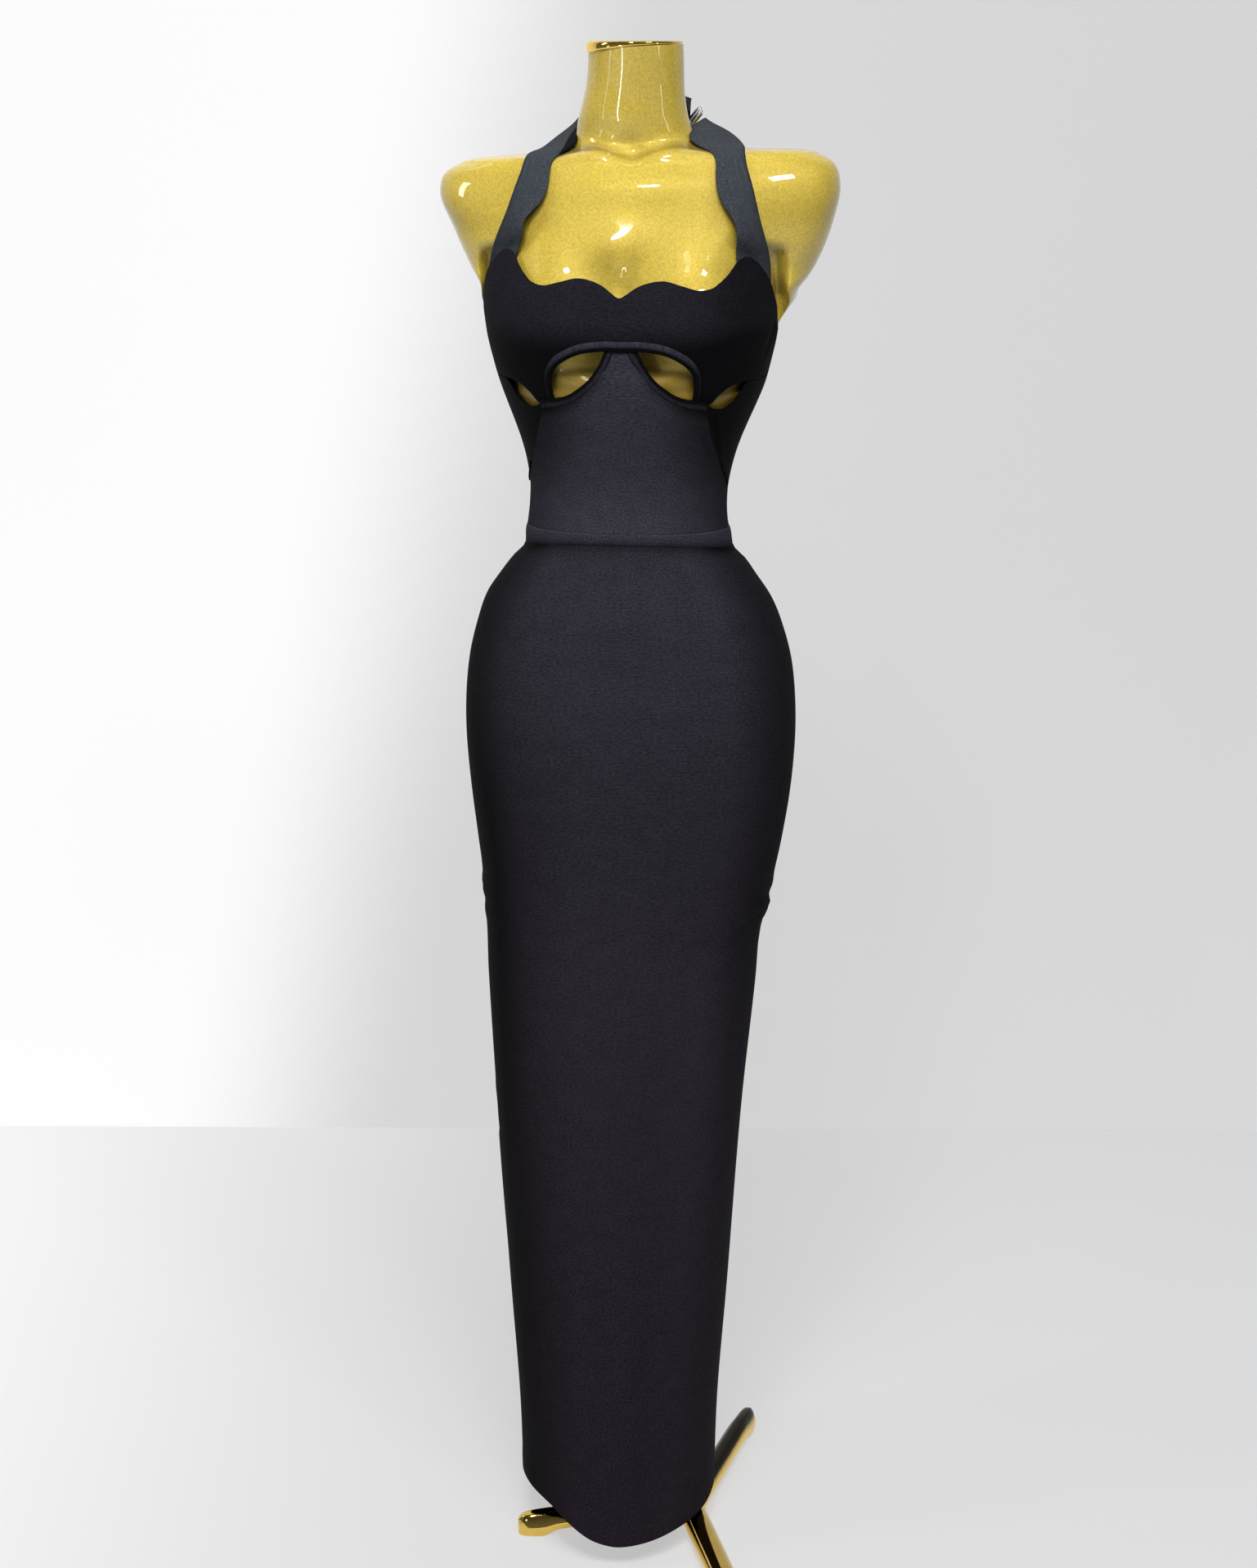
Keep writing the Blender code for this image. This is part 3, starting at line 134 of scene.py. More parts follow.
# ---- the form above the dress's back, where it shows -----------------------------------
# height, half width, front depth, back depth, centre line towards +Y, squareness
SHOULDERS = [
    (1.310, 0.1350, 0.0960, 0.0865, 0.0000, 2.10),
    (1.335, 0.1420, 0.0950, 0.0865, 0.0000, 2.10),
    (1.355, 0.1535, 0.0940, 0.0850, 0.0020, 2.30),
    (1.373, 0.1690, 0.0940, 0.0820, 0.0060, 2.10),
    (1.390, 0.1890, 0.0950, 0.0790, 0.0100, 1.60),
    (1.408, 0.2010, 0.0920, 0.0770, 0.0120, 1.60),
    (1.430, 0.2070, 0.0860, 0.0750, 0.0120, 1.75),
    (1.455, 0.2120, 0.0770, 0.0710, 0.0110, 1.95),
    (1.475, 0.2050, 0.0680, 0.0670, 0.0100, 2.10),
    (1.488, 0.1950, 0.0600, 0.0630, 0.0100, 2.20),
    (1.497, 0.1790, 0.0550, 0.0600, 0.0100, 2.20),
    (1.5025, 0.1600, 0.0530, 0.0585, 0.0100, 2.10),
    (1.506, 0.1050, 0.0510, 0.0570, 0.0090, 2.00),
    (1.510, 0.0720, 0.0490, 0.0560, 0.0090, 2.00),
    (1.516, 0.0605, 0.0440, 0.0530, 0.0080, 2.00),
    (1.532, 0.0550, 0.0400, 0.0500, 0.0060, 2.00),
    (1.565, 0.0485, 0.0390, 0.0470, 0.0030, 2.00),
    (1.603, 0.0462, 0.0410, 0.0470, 0.0000, 2.00),
]
# the arms are cut by planes that lean in towards the ribs: side, distance from the middle, the
# height of that point, how far the plane leans in for each metre down
ARM_CUTS = [(-1, 0.1920, 1.4500, 0.520), (1, 0.1930, 1.4500, 0.280)]

# ---- seam lines on the right half of the front ------------------------------------------
# the bust band where its lower edge follows the arch: angle and height of the opening's
# edge, of the seam between the arch's binding and the band, and of the neckline above it
BAND_ARCH = [
    (0.0, 1.3250, 0.0, 1.3345, 0.0, 1.3740),
    (4.1, 1.3250, 5.0, 1.3345, 5.8, 1.3860),
    (12.4, 1.3215, 13.4, 1.3305, 13.6, 1.3908),
    (19.9, 1.3130, 23.0, 1.3185, 21.0, 1.3864),
    (24.9, 1.3030, 28.3, 1.3045, 27.6, 1.3826),
    (27.0, 1.2900, 30.4, 1.2900, 33.5, 1.3848),
    (27.9, 1.2774, 31.2, 1.2764, 37.6, 1.3905),
]
# the rest of the band out to the side seam, along the tie and the side opening: angle and
# height of the lower edge, and of the neckline above it
BAND_CUP = [
    (35.4, 1.2742, 41.6, 1.3975),
    (38.3, 1.2718, 46.6, 1.4080),
    (41.7, 1.2805, 50.4, 1.4120),
    (46.4, 1.2873, 54.4, 1.4124),
    (52.0, 1.2908, 58.6, 1.4090),
    (57.6, 1.2916, 64.2, 1.4000),
    (66.0, 1.2916, 70.6, 1.3880),
    (77.0, 1.2916, 79.0, 1.3660),
    (87.9, 1.2916, 87.9, 1.3380),
]
# the binding of the midriff's swooping top edge, from the centre peak to the tie: its upper
# edge, and its seam with the midriff
SWOOP = [
    (4.0, 1.3238, 1.6, 1.3238),
    (6.1, 1.3110, 4.1, 1.3085),
    (10.4, 1.2970, 8.7, 1.2920),
    (17.2, 1.2852, 15.9, 1.2785),
    (22.5, 1.2795, 21.9, 1.2718),
    (27.9, 1.2767, 27.9, 1.2684),
    (33.0, 1.2757, 33.2, 1.2668),
    (36.5, 1.2722, 36.5, 1.2656),
]
# princess seam from the tie out to the side, then down the side seam
PRINCESS = [
    (36.7, 1.2652), (42.0, 1.2490), (48.0, 1.2335), (58.0, 1.2130), (69.0, 1.1955),
    (80.0, 1.1825), (86.6, 1.1745), (88.0, 1.1600), (88.0, 1.1332),
]
# top edge of the side panel, under the side opening and on to the side seam
SIDE_PANEL_CORNER = (36.9, 1.2652)
SIDE_PANEL_TOP = [
    (37.1, 1.2714), (38.4, 1.2692), (41.6, 1.2668), (46.5, 1.2658), (50.4, 1.2698),
    (53.8, 1.2758), (57.3, 1.2880), (60.0, 1.2911), (70.0, 1.2911), (87.9, 1.2911),
]
# top edge of a back panel
BACK_EDGE = [(88.1, 1.3376), (96.0, 1.3348), *((at, BACK_TOP) for at in (110.0, 140.0, 180.0))]

# the hem's height: angle, height
HEM = [
    (-180.0, 0.0480), (-120.0, 0.0530), (-88.0, 0.0520), (-66.0, 0.0595), (-46.0, 0.0615),
    (-35.0, 0.0585), (-26.0, 0.0500), (-10.0, 0.0345), (0.0, 0.0292), (8.0, 0.0272), (24.0, 0.0285),
    (45.0, 0.0315), (68.0, 0.0320), (88.0, 0.0340), (120.0, 0.0390), (180.0, 0.0480),
]

# ---- halter strap on the +X side, its outer and its inner edge --------------------------
# the end sewn behind the cup: outer angle, inner angle, height above the neckline
STRAP_BASE = [
    (76.0, 47.8, -0.0100),
    (75.2, 47.4, 0.0012),
]
# from there over the shoulder to the nape: outer x, y, z, inner x, y, z
STRAP = [
    (0.1380, -0.0390, 1.4045, 0.1036, -0.0730, 1.4225),
    (0.1325, -0.0495, 1.4225, 0.1040, -0.0765, 1.4310),
    (0.1255, -0.0540, 1.4410, 0.1025, -0.0735, 1.4430),
    (0.1205, -0.0530, 1.4560, 0.0940, -0.0700, 1.4525),
    (0.1160, -0.0490, 1.4700, 0.0840, -0.0655, 1.4640),
    (0.1115, -0.0440, 1.4830, 0.0808, -0.0585, 1.4780),
    (0.1085, -0.0390, 1.4920, 0.0803, -0.0515, 1.4895),
    (0.1065, -0.0300, 1.4990, 0.0800, -0.0450, 1.4975),
    (0.1050, -0.0150, 1.5035, 0.0755, -0.0370, 1.5035),
    (0.1020, 0.0000, 1.5060, 0.0670, -0.0290, 1.5080),
    (0.0950, 0.0130, 1.5110, 0.0590, -0.0220, 1.5140),
    (0.0835, 0.0240, 1.5205, 0.0555, -0.0110, 1.5195),
    (0.0730, 0.0330, 1.5275, 0.0540, 0.0070, 1.5220),
    (0.0645, 0.0410, 1.5345, 0.0545, 0.0270, 1.5240),
    (0.0580, 0.0485, 1.5430, 0.0550, 0.0450, 1.5270),
    (0.0470, 0.0570, 1.5540, 0.0490, 0.0570, 1.5345),
    (0.0250, 0.0620, 1.5590, 0.0260, 0.0640, 1.5390),
    (0.0000, 0.0630, 1.5600, 0.0000, 0.0655, 1.5400),
]
# where the strap on the +X side is fuller, outward and inward: middle row, spread, how far
STRAP_OUTWARD, STRAP_INWARD = (11.2, 1.6, 0.0036), (13.2, 2.8, 0.0070)
STRAP_STEPS = 2              # lines laid on the form for each row of STRAP
STRAP_TILT_ENDS = (1.430, 1.480)
STRAP_ACROSS = 4             # faces across those lines
STRAP_CLEAR = 0.0013         # least space between a strap and the form
STRAP_DEPTH = 0.0032
STRAP_SPLIT = 16             # the row, the base's included, where the clasp sits on the +X strap
CLASP_HALF_LENGTH, CLASP_HALF_HEIGHT, CLASP_THICK, CLASP_SPACE = 0.0068, 0.0105, 0.0032, 0.0006

# ---- stand -------------------------------------------------------------------------------
# name, direction in degrees from +X, reach from the hub's centre, how much wider it is
ARMS = [
    ("stand_arm_back", 76.0, 0.223, 1.0),
    ("stand_arm_left", 194.0, 0.196, 1.0),
    ("stand_arm_front", 289.6, 0.215, 1.14),
]
# share of the arm's length, half width, height of the underside, height of the top
ARM_SECTIONS = [
    (0.00, 0.0134, 0.0085, 0.0285), (0.30, 0.0134, 0.0085, 0.0280), (0.58, 0.0132, 0.0085, 0.0275),
    (0.76, 0.0130, 0.0065, 0.0270), (0.84, 0.0128, 0.0000, 0.0265), (0.94, 0.0114, 0.0000, 0.0245),
    (0.98, 0.0082, 0.0000, 0.0220), (1.00, 0.0045, 0.0000, 0.0180),
]
# the arm's section: side, rise
ARM_PROFILE = [
    (-0.85, 0.0), (0.85, 0.0), (1.0, 0.15), (1.0, 0.42), (0.70, 0.78), (0.34, 0.97),
    (-0.34, 1.0), (-0.70, 0.82), (-1.0, 0.45), (-1.0, 0.15),
]

# ---- creases of the worn cloth ---------------------------------------------------------
# angle and height of each end, how wide, how deep (a ridge is less than nothing)
CREASES = [
    (-88.0, 0.7455, -47.0, 0.7440, 0.0035, 0.0021),
    (-88.0, 0.7300, -62.0, 0.7365, 0.0070, 0.0012),
    (88.0, 0.7300, 50.0, 0.7405, 0.0040, 0.0024),
    (88.0, 0.7440, 58.0, 0.7480, 0.0080, 0.0016),
    (88.0, 0.7160, 66.0, 0.7290, 0.0080, 0.0012),
    (-76.0, 1.3560, -60.0, 1.3510, 0.0030, 0.0008),
    (76.0, 1.3420, 66.0, 1.3050, 0.0060, 0.0014),
    (83.0, 1.3400, 80.0, 1.3000, 0.0050, -0.0010),
    (-2.0, 1.3230, -3.5, 1.3040, 0.0022, 0.0007),
    (2.5, 1.3230, 3.2, 1.3100, 0.0022, 0.0004),
    (44.0, 1.2540, 66.0, 1.1990, 0.0026, 0.0009),
    (40.0, 1.2500, 60.0, 1.2020, 0.0040, -0.0006),
    (92.0, 0.7450, 128.0, 0.7380, 0.0050, 0.0020),
    (-92.0, 0.7500, -120.0, 0.7400, 0.0050, 0.0018),
    (96.0, 0.7280, 150.0, 0.7180, 0.0080, 0.0014),
    (-98.0, 0.7240, -140.0, 0.7250, 0.0070, 0.0015),
    (100.0, 1.1250, 150.0, 1.1420, 0.0050, 0.0012),
    (-104.0, 1.1500, -158.0, 1.1380, 0.0060, 0.0013),
    (112.0, 1.1700, 165.0, 1.1850, 0.0070, 0.0010),
    (-118.0, 1.1900, -166.0, 1.1780, 0.0060, 0.0009),
    (120.0, 0.8700, 172.0, 0.8450, 0.0120, 0.0016),
    (-120.0, 0.8600, -170.0, 0.8480, 0.0110, 0.0015),
    (-84.0, 0.5000, -86.0, 0.3400, 0.0080, 0.0012),
    (-80.0, 0.4600, -83.0, 0.3000, 0.0060, -0.0008),
]
CREASE_FADE = (0.25, 1.05)   # shares of its length between which a crease runs out
CREASE_RIM, CREASE_DARK = 0.4, 0.8     # the ridge beside it, and how wide its shade is
# soft swellings of the cloth: x, height, half width, half height, how far out
SWELLS = [
    (-0.068, 1.350, 0.045, 0.030, 0.0024),
    (0.066, 1.350, 0.045, 0.030, 0.0024),
    (-0.004, 1.062, 0.055, 0.030, 0.0020),
    (-0.004, 1.000, 0.050, 0.018, -0.0012),
    (-0.085, 0.930, 0.050, 0.090, 0.0014),
    (0.080, 0.930, 0.050, 0.090, 0.0014),
]


# ---- curves and surfaces ---------------------------------------------------------------
def unit(vectors):
    """The directions of vectors."""
    vectors = np.asarray(vectors, float)
    return vectors / np.maximum(np.linalg.norm(vectors, axis=-1, keepdims=True), 1e-12)


def smooth(value, low, high):
    """0 below one value and 1 above another, with a soft step between."""
    t = np.clip((np.asarray(value, float) - low) / (high - low), 0, 1)
    return t * t * (3 - 2 * t)


def bell(value, middle, reach):
    """1 at a middle value, fading to 0 on both sides."""
    return np.exp(-((value - middle) / reach) ** 2)


def between(value, rise, fall):
    """1 between two soft steps, a rising and a falling one, and 0 outside them."""
    return smooth(value, *rise) * (1 - smooth(value, *fall))


def eased(rows, at):
    """A table's other columns at values of its first one, on a smooth curve through its rows."""
    table = np.asarray(rows, float)
    keys = table[:, 0]
    at = np.clip(np.asarray(at, float), keys[0], keys[-1])
    i = np.clip(np.searchsorted(keys, at, side="right") - 1, 0, len(keys) - 2)
    count = np.arange(len(keys))
    before, after = np.maximum(count - 1, 0), np.minimum(count + 1, len(keys) - 1)
    slope = (table[after] - table[before]) / (keys[after] - keys[before])[:, None]
    step = (keys[i + 1] - keys[i])[..., None]
    t = (at - keys[i])[..., None] / step
    start = (1 + 2 * t) * (1 - t) ** 2 * table[i] + t * (1 - t) ** 2 * slope[i] * step
    finish = t * t * (3 - 2 * t) * table[i + 1] + t * t * (t - 1) * slope[i + 1] * step
    return (start + finish)[..., 1:]


def values_at(rows, at):
    """The same columns, apart from each other."""
    return np.moveaxis(eased(rows, at), -1, 0)


def along(rows, at):
    """The rows of a table at positions counted in rows."""
    rows = np.asarray(rows, float)
    return eased(np.column_stack([np.arange(len(rows)), rows]), at)


def spot(x, z, at, level, wide, tall, power=2):
    """1 at a place on the front, fading to 0 round it."""
    return np.exp(-((x - at) / wide) ** power - ((z - level) / tall) ** power)


def graded(count, length, edge=0.0024):
    """Shares from 0 to 1, finer within the edge's width of both ends of a length."""
    near = edge / length * np.array([0.0, 0.06, 0.2, 0.42, 0.7])
    middle = np.linspace(edge / length, 1 - edge / length, count)
    return np.concatenate([near, middle, 1 - near[::-1]])


def squared(value, power):
    """A power of a number, with its sign: it turns a circle's sines into a rounded square's."""
    return np.sign(value) * np.abs(value) ** power


def circle(count):
    """Angles round a full turn, in radians, with their cosines and sines."""
    turn = math.tau * np.arange(count) / count
    return turn, np.cos(turn), np.sin(turn)


def squircle(angle, width, front, back, power):
    """Points of a rounded section: x, y."""
    s, c = np.sin(np.radians(angle)), np.cos(np.radians(angle))
    return width * squared(s, 2 / power), -np.where(c > 0, front, back) * squared(c, 2 / power)


def dress_raw(angle, height):
    """Points of the dress's plain outer face."""
    width, front, back, shift, power = values_at(DRESS, height)
    x, y = squircle(angle, width, front, back, power)
    return np.stack([x + shift, y, height + 0 * x], axis=-1)


def placed(angle, height):
    """Angles on the front: the worn dress is drawn a little wider on its +X side."""
    return angle + (WIDER * between(angle, WIDER_FROM, WIDER_TO)
                    * between(height, WIDER_ABOVE, WIDER_BELOW))


def dress_point(angle, height, out=0.0):
    """Points of the dress's outer face, moved out along the face's normal."""
    angle, height = np.broadcast_arrays(np.asarray(angle, float), np.asarray(height, float))
    angle = placed(angle, height)
    turn, rise = 0.6, 0.002
    across = dress_raw(angle + turn, height) - dress_raw(angle - turn, height)
    up = dress_raw(angle, height + rise) - dress_raw(angle, height - rise)
    out = np.asarray(out, float)[..., None]
    return dress_raw(angle, height) + unit(np.cross(across, up)) * out


def outward(angle, height):
    """Directions straight out of the dress's outer face."""
    return unit(dress_point(angle, height, 0.01) - dress_point(angle, height))


def creased(angle, height):
    """How far creases push the cloth in, and how deep the painted shade lies in the deepest of
    them.
    """
    here = dress_raw(angle, height)
    pushed, shade = np.zeros(angle.shape), np.zeros(angle.shape)
    for a0, z0, a1, z1, wide, deep in CREASES:
        start, end = dress_raw(np.array(a0), np.array(z0)), dress_raw(np.array(a1), np.array(z1))
        line = end - start
        share = ((here - start) @ line) / (line @ line)
        off = np.linalg.norm(here - start - np.clip(share, 0, 1)[..., None] * line, axis=-1)
        fade = 1 - smooth(share, *CREASE_FADE)
        pushed += deep * fade * (bell(off, 0, wide) - CREASE_RIM * bell(off, 2 * wide, wide))
        shade += max(deep, 0) / 0.002 * fade * bell(off, 0, wide * CREASE_DARK)
    for x, z, wide, tall, out in SWELLS:
        pushed -= out * spot(here[..., 0], height, x, z, wide, tall) * (np.abs(angle) < SIDE_ANGLE)
    return pushed, shade


# ---- meshes ----------------------------------------------------------------------------
def grid_faces(index):
    """Quads between neighbours of a grid of vertex numbers."""
    corners = index[:-1, :-1], index[:-1, 1:], index[1:, 1:], index[1:, :-1]
    return np.stack(corners, -1).reshape(-1, 4)


def turned_out(points, faces):
    """Faces of a closed body, turned round if they point inwards."""
    a, b, c = (points[faces[:, k]] for k in (0, 1, 2))
    d = points[faces[:, 3]]
    volume = (a * np.cross(b, c)).sum() + (a * np.cross(c, d)).sum()
    return faces if volume > 0 else faces[:, ::-1]


def linked(name, data):
    """A new object in the scene."""
    made = bpy.data.objects.new(name, data)
    bpy.context.scene.collection.objects.link(made)
    return made


def mark(mesh, name, values, kind="FLOAT", field="value"):
    """A named value at each point of a mesh, for its material to read."""
    made = mesh.attributes.new(name, kind, "POINT")
    made.data.foreach_set(field, np.asarray(values, np.float32))


def make(name, points, faces, look, nodes=(), uv=None, tone=None, body=WORN):
    """A smooth piece from points and faces, which stands for some of the frame's nodes."""
    mesh = bpy.data.meshes.new(name)
    mesh.from_pydata((np.asarray(points) + FIGURE).tolist(), [], [list(f) for f in faces])
    corner = np.zeros(len(mesh.loops), np.int64)
    mesh.loops.foreach_get("vertex_index", corner)
    if uv is not None:
        layer = mesh.uv_layers.new(name="knit")
        layer.data.foreach_set("uv", np.asarray(uv, np.float32)[corner].ravel())
    # painted light and shade: values that lighten or darken the piece's colour in its material
    if tone is not None:
        mark(mesh, "tone", tone)
    mesh.shade_smooth()
    return own(name, mesh, look, nodes, body)


def own(name, mesh, look, nodes=(), body=WORN):
    """A mesh as a piece that moves with a body."""
    mesh.name = name
    mesh.materials.clear()
    mesh.materials.append(look)
    made = linked(name, mesh)
    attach(made, body)
    if nodes:
        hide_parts(*nodes)
    return made


def steps_along(points):
    """Distances along both directions of a grid of points, from each of its four edges."""
    down = np.linalg.norm(np.diff(points, axis=0), axis=-1)
    over = np.linalg.norm(np.diff(points, axis=1), axis=-1)
    rise, run = np.zeros(points.shape[:2]), np.zeros(points.shape[:2])
    rise[1:], run[:, 1:] = np.cumsum(down, axis=0), np.cumsum(over, axis=1)
    return rise, run[:, -1:] - run, rise[-1:] - rise, run


def straight_out(points, side):
    """The directions straight out of a grid of points."""
    down, over = np.gradient(points, axis=0), np.gradient(points, axis=1)
    return unit(np.cross(over, down)) * side


def shell(name, points, normals, rolls, uv, tone, look):
    """A closed sheet of cloth whose rim is rounded over the given width at each of its edges."""
    thick = bpy.context.scene.dress_sizes.cloth
    edges = steps_along(points)
    left = np.ones(points.shape[:2])
    for distance, roll in zip(edges, rolls):
        left = left * (1 - (1 - np.clip(distance / roll, 0, 1)) ** 2)
    half = (thick / 2 * np.sqrt(left))[..., None]
    centre = points - normals * thick / 2
    outer, inner = centre + normals * half, centre - normals * half
    rows, columns = points.shape[:2]
    front = np.arange(rows * columns).reshape(rows, columns)
    back = front.copy()
    back[1:-1, 1:-1] = rows * columns + np.arange((rows - 2) * (columns - 2)).reshape(rows - 2, -1)
    every = np.concatenate([outer.reshape(-1, 3), inner[1:-1, 1:-1].reshape(-1, 3)])
    faces = np.concatenate([grid_faces(front), grid_faces(back)[:, ::-1]])
    both = [np.concatenate([a.reshape(rows * columns, -1), a[1:-1, 1:-1].reshape(-1, a.shape[2])])
            for a in (uv, tone[..., None])]
    faces = turned_out(every, faces)
    made = make(name, every, faces, look, [name], uv=both[0], tone=both[1][:, 0])
    a, b = points[1:, :-1] - points[:-1, 1:], points[1:, 1:] - points[:-1, :-1]


SEAM_ROLL, FREE_ROLL = 0.0013, 0.0009     # how far a seam's and a free edge's rounding reaches
CLOTH_ROUND = 0.90           # the length of cloth that lies round the body, for its weave


def panel(name, angles, heights, rolls, out=0.0, side=1, tone=0.0):
    """A panel of the dress between its edges, with its creases and their painted shade; painted
    light lightens or deepens its black.
    """
    angles, heights = np.broadcast_arrays(angles, heights)
    angles = angles * side
    pushed, shade = creased(angles, heights)
    points = dress_point(angles, heights, out - pushed)
    uv = np.stack([angles / 360 * CLOTH_ROUND, heights], axis=-1)
    shell(name, points, straight_out(points, side), rolls, uv, tone - shade, knit())


def tilted(angle, height):
    """Heights with the worn dress's tilt added: its neckline sits lower on the +X side."""
    return height - WORN_TILT * dress_raw(angle, height)[..., 0] * smooth(height, *TILT_FROM)


def waist_line(angle, height=WAIST_SEAM, rise=WAIST_RISE):
    """The waist seam's height, a little higher at the centre front."""
    return height + rise * np.maximum(0.0, np.cos(np.radians(angle))) ** 1.5


def casing_foot(angle):
    """The height of the seam between the waist casing and the skirt."""
    return waist_line(angle, CASING_FOOT, CASING_RISE)


def lean(point):
    """Points of the form, which leans to +X so that its +X shoulder is the higher one."""
    z = point[..., 2]
    slope = FORM_LEAN * smooth(z, *FORM_LEAN_FROM) + NECK_LEAN * smooth(z, *NECK_LEAN_FROM)
    shift = FORM_SHIFT * smooth(z, *FORM_SHIFT_FROM)
    shift = shift * (1 - NECK_UPRIGHT * smooth(z, *NECK_UPRIGHT_FROM))
    return np.stack([point[..., 0] + shift, point[..., 1], z + slope * point[..., 0]], axis=-1)


def worn(point):
    """Points of a strap: it tilts with the neckline at the cup and with the form above."""
    share = smooth(point[..., 2], *STRAP_TILT_ENDS)
    x, y, z = np.moveaxis(lean(point), -1, 0)
    raised = point[..., 2] - WORN_TILT * point[..., 0]
    return np.stack([x, y, raised + (z - raised) * share], axis=-1)


# ---- looks -----------------------------------------------------------------------------
class Value:
    """A shader's socket that takes part in arithmetic: each operator adds a Math node."""

    def __init__(self, paint, socket):
        self.paint, self.socket = paint, socket

    def math(self, operation, a, b=0.0):
        return self.paint.node("ShaderNodeMath", {"operation": operation}, {0: a, 1: b})

    def beside(self, out):
        """Another output of the same node."""
        return Value(self.paint, self.socket.node.outputs[out])

    def __add__(self, other):
        return self.math("ADD", self, other)

    __radd__ = __add__

    def __sub__(self, other):
        return self.math("SUBTRACT", self, other)

    def __rsub__(self, other):
        return self.math("SUBTRACT", other, self)

    def __mul__(self, other):
        return self.math("MULTIPLY", self, other)


class Paint:
    """A material and the nodes of its tree."""

    def __init__(self, name):
        self.material = bpy.data.materials.new(name)
        self.material.use_nodes = True
        self.tree = self.material.node_tree
        self.shader = self.tree.nodes["Principled BSDF"]

    def node(self, kind, settings=None, inputs=None, out=0):
        """Add a node: its settings first, then the values or links of its sockets."""
        made = self.tree.nodes.new(kind)
        for key, value in (settings or {}).items():
            setattr(made, key, value)
        self.fill(made, inputs or {})
        return Value(self, made.outputs[out])

    def fill(self, made, inputs):
        """Set a node's sockets to values or link them."""
        for key, value in inputs.items():
            if isinstance(value, Value):
                self.tree.links.new(value.socket, made.inputs[key])
            else:
                made.inputs[key].default_value = value

    def place(self):
        """The point's place in its piece's own axes."""
        return self.node("ShaderNodeTexCoord", out=3)

    def mark(self, name):
        """A named value that the mesh holds."""
        return self.node("ShaderNodeAttribute", {"attribute_name": name}, out=2)

    def apart(self, vector):
        """The first number of a vector, beside the other two."""
        return self.node("ShaderNodeSeparateXYZ", None, {0: vector})

    def noise(self, where, scale, detail=2.0, rough=0.5):
        """Smooth noise with so many lumps to the metre."""
        return self.node("ShaderNodeTexNoise", {"noise_dimensions": "3D"},
                         {"Vector": where, "Scale": scale, "Detail": detail, "Roughness": rough})

    def blend(self, share, a, b):
        """A mix of two colours."""
        made = self.tree.nodes.new("ShaderNodeMix")
        made.data_type = "RGBA"
        self.fill(made, {0: share, 6: a, 7: b})
        return Value(self, made.outputs[2])

    def bump(self, height, distance, strength=1.0):
        """A normal from a height."""
        return self.node("ShaderNodeBump", None,
                         {"Height": height, "Distance": distance, "Strength": strength})

    def done(self, **sockets):
        """Fill the shader's sockets, named with _ for a space, and give the material."""
        self.fill(self.shader, {key.replace("_", " "): value for key, value in sockets.items()})
        return self.material


def tinted(colour, share):
    """A colour made lighter or darker, as a socket takes it."""
    return (*(min(1.0, c * share) for c in colour), 1.0)


# the knit: its grain, patches and wandering courses, in lumps to the metre, how far the courses
# wander, how dark and how pale its grain gets in shares of its colour, and the least share of
# it that painted shade leaves
KNIT_GRAIN, KNIT_PATCHES, KNIT_WAVES, KNIT_WANDER = 520.0, 60.0, 90.0, 0.0004
KNIT_DARK, KNIT_PALE, KNIT_LEAST = 0.30, 1.70, 0.08
LOW_TINT = (1.03, 0.80, 0.86, 1)          # the knit's cast near the hem
LOW_FROM, LOW_TO = 0.95, 0.30             # the heights between which that cast comes in
# the gold paint: its flakes and its fine and broad clouds to the metre, and its shares of colour
FLAKES, FINE_CLOUDS, BROAD_CLOUDS = 1500.0, 420.0, 9.0
GOLD_DARK, GOLD_PALE = 0.60, 1.10
GOLD_SHADE = (0.16, 0.095, 0.008, 1)      # painted shade: the gold paint's colour where the cloth and the form's hollows shade it
# the plating: its haze, specks and clouds to the metre, and its shares of colour
HAZE, SPECKS, PLATING_CLOUDS = 70.0, 900.0, 55.0
PLATING_DARK, PLATING_PALE = 0.86, 1.1
# the plating's painted dark reflection of the black cloth above the arms
PLATING_SHADE = (0.010, 0.007, 0.001, 1)


def once(make_look):
    """Keep a look, so that pieces share it."""
    kept = {}

    def given(*about):
        if about not in kept:
            kept[about] = make_look(*about)
        return kept[about]
    return given


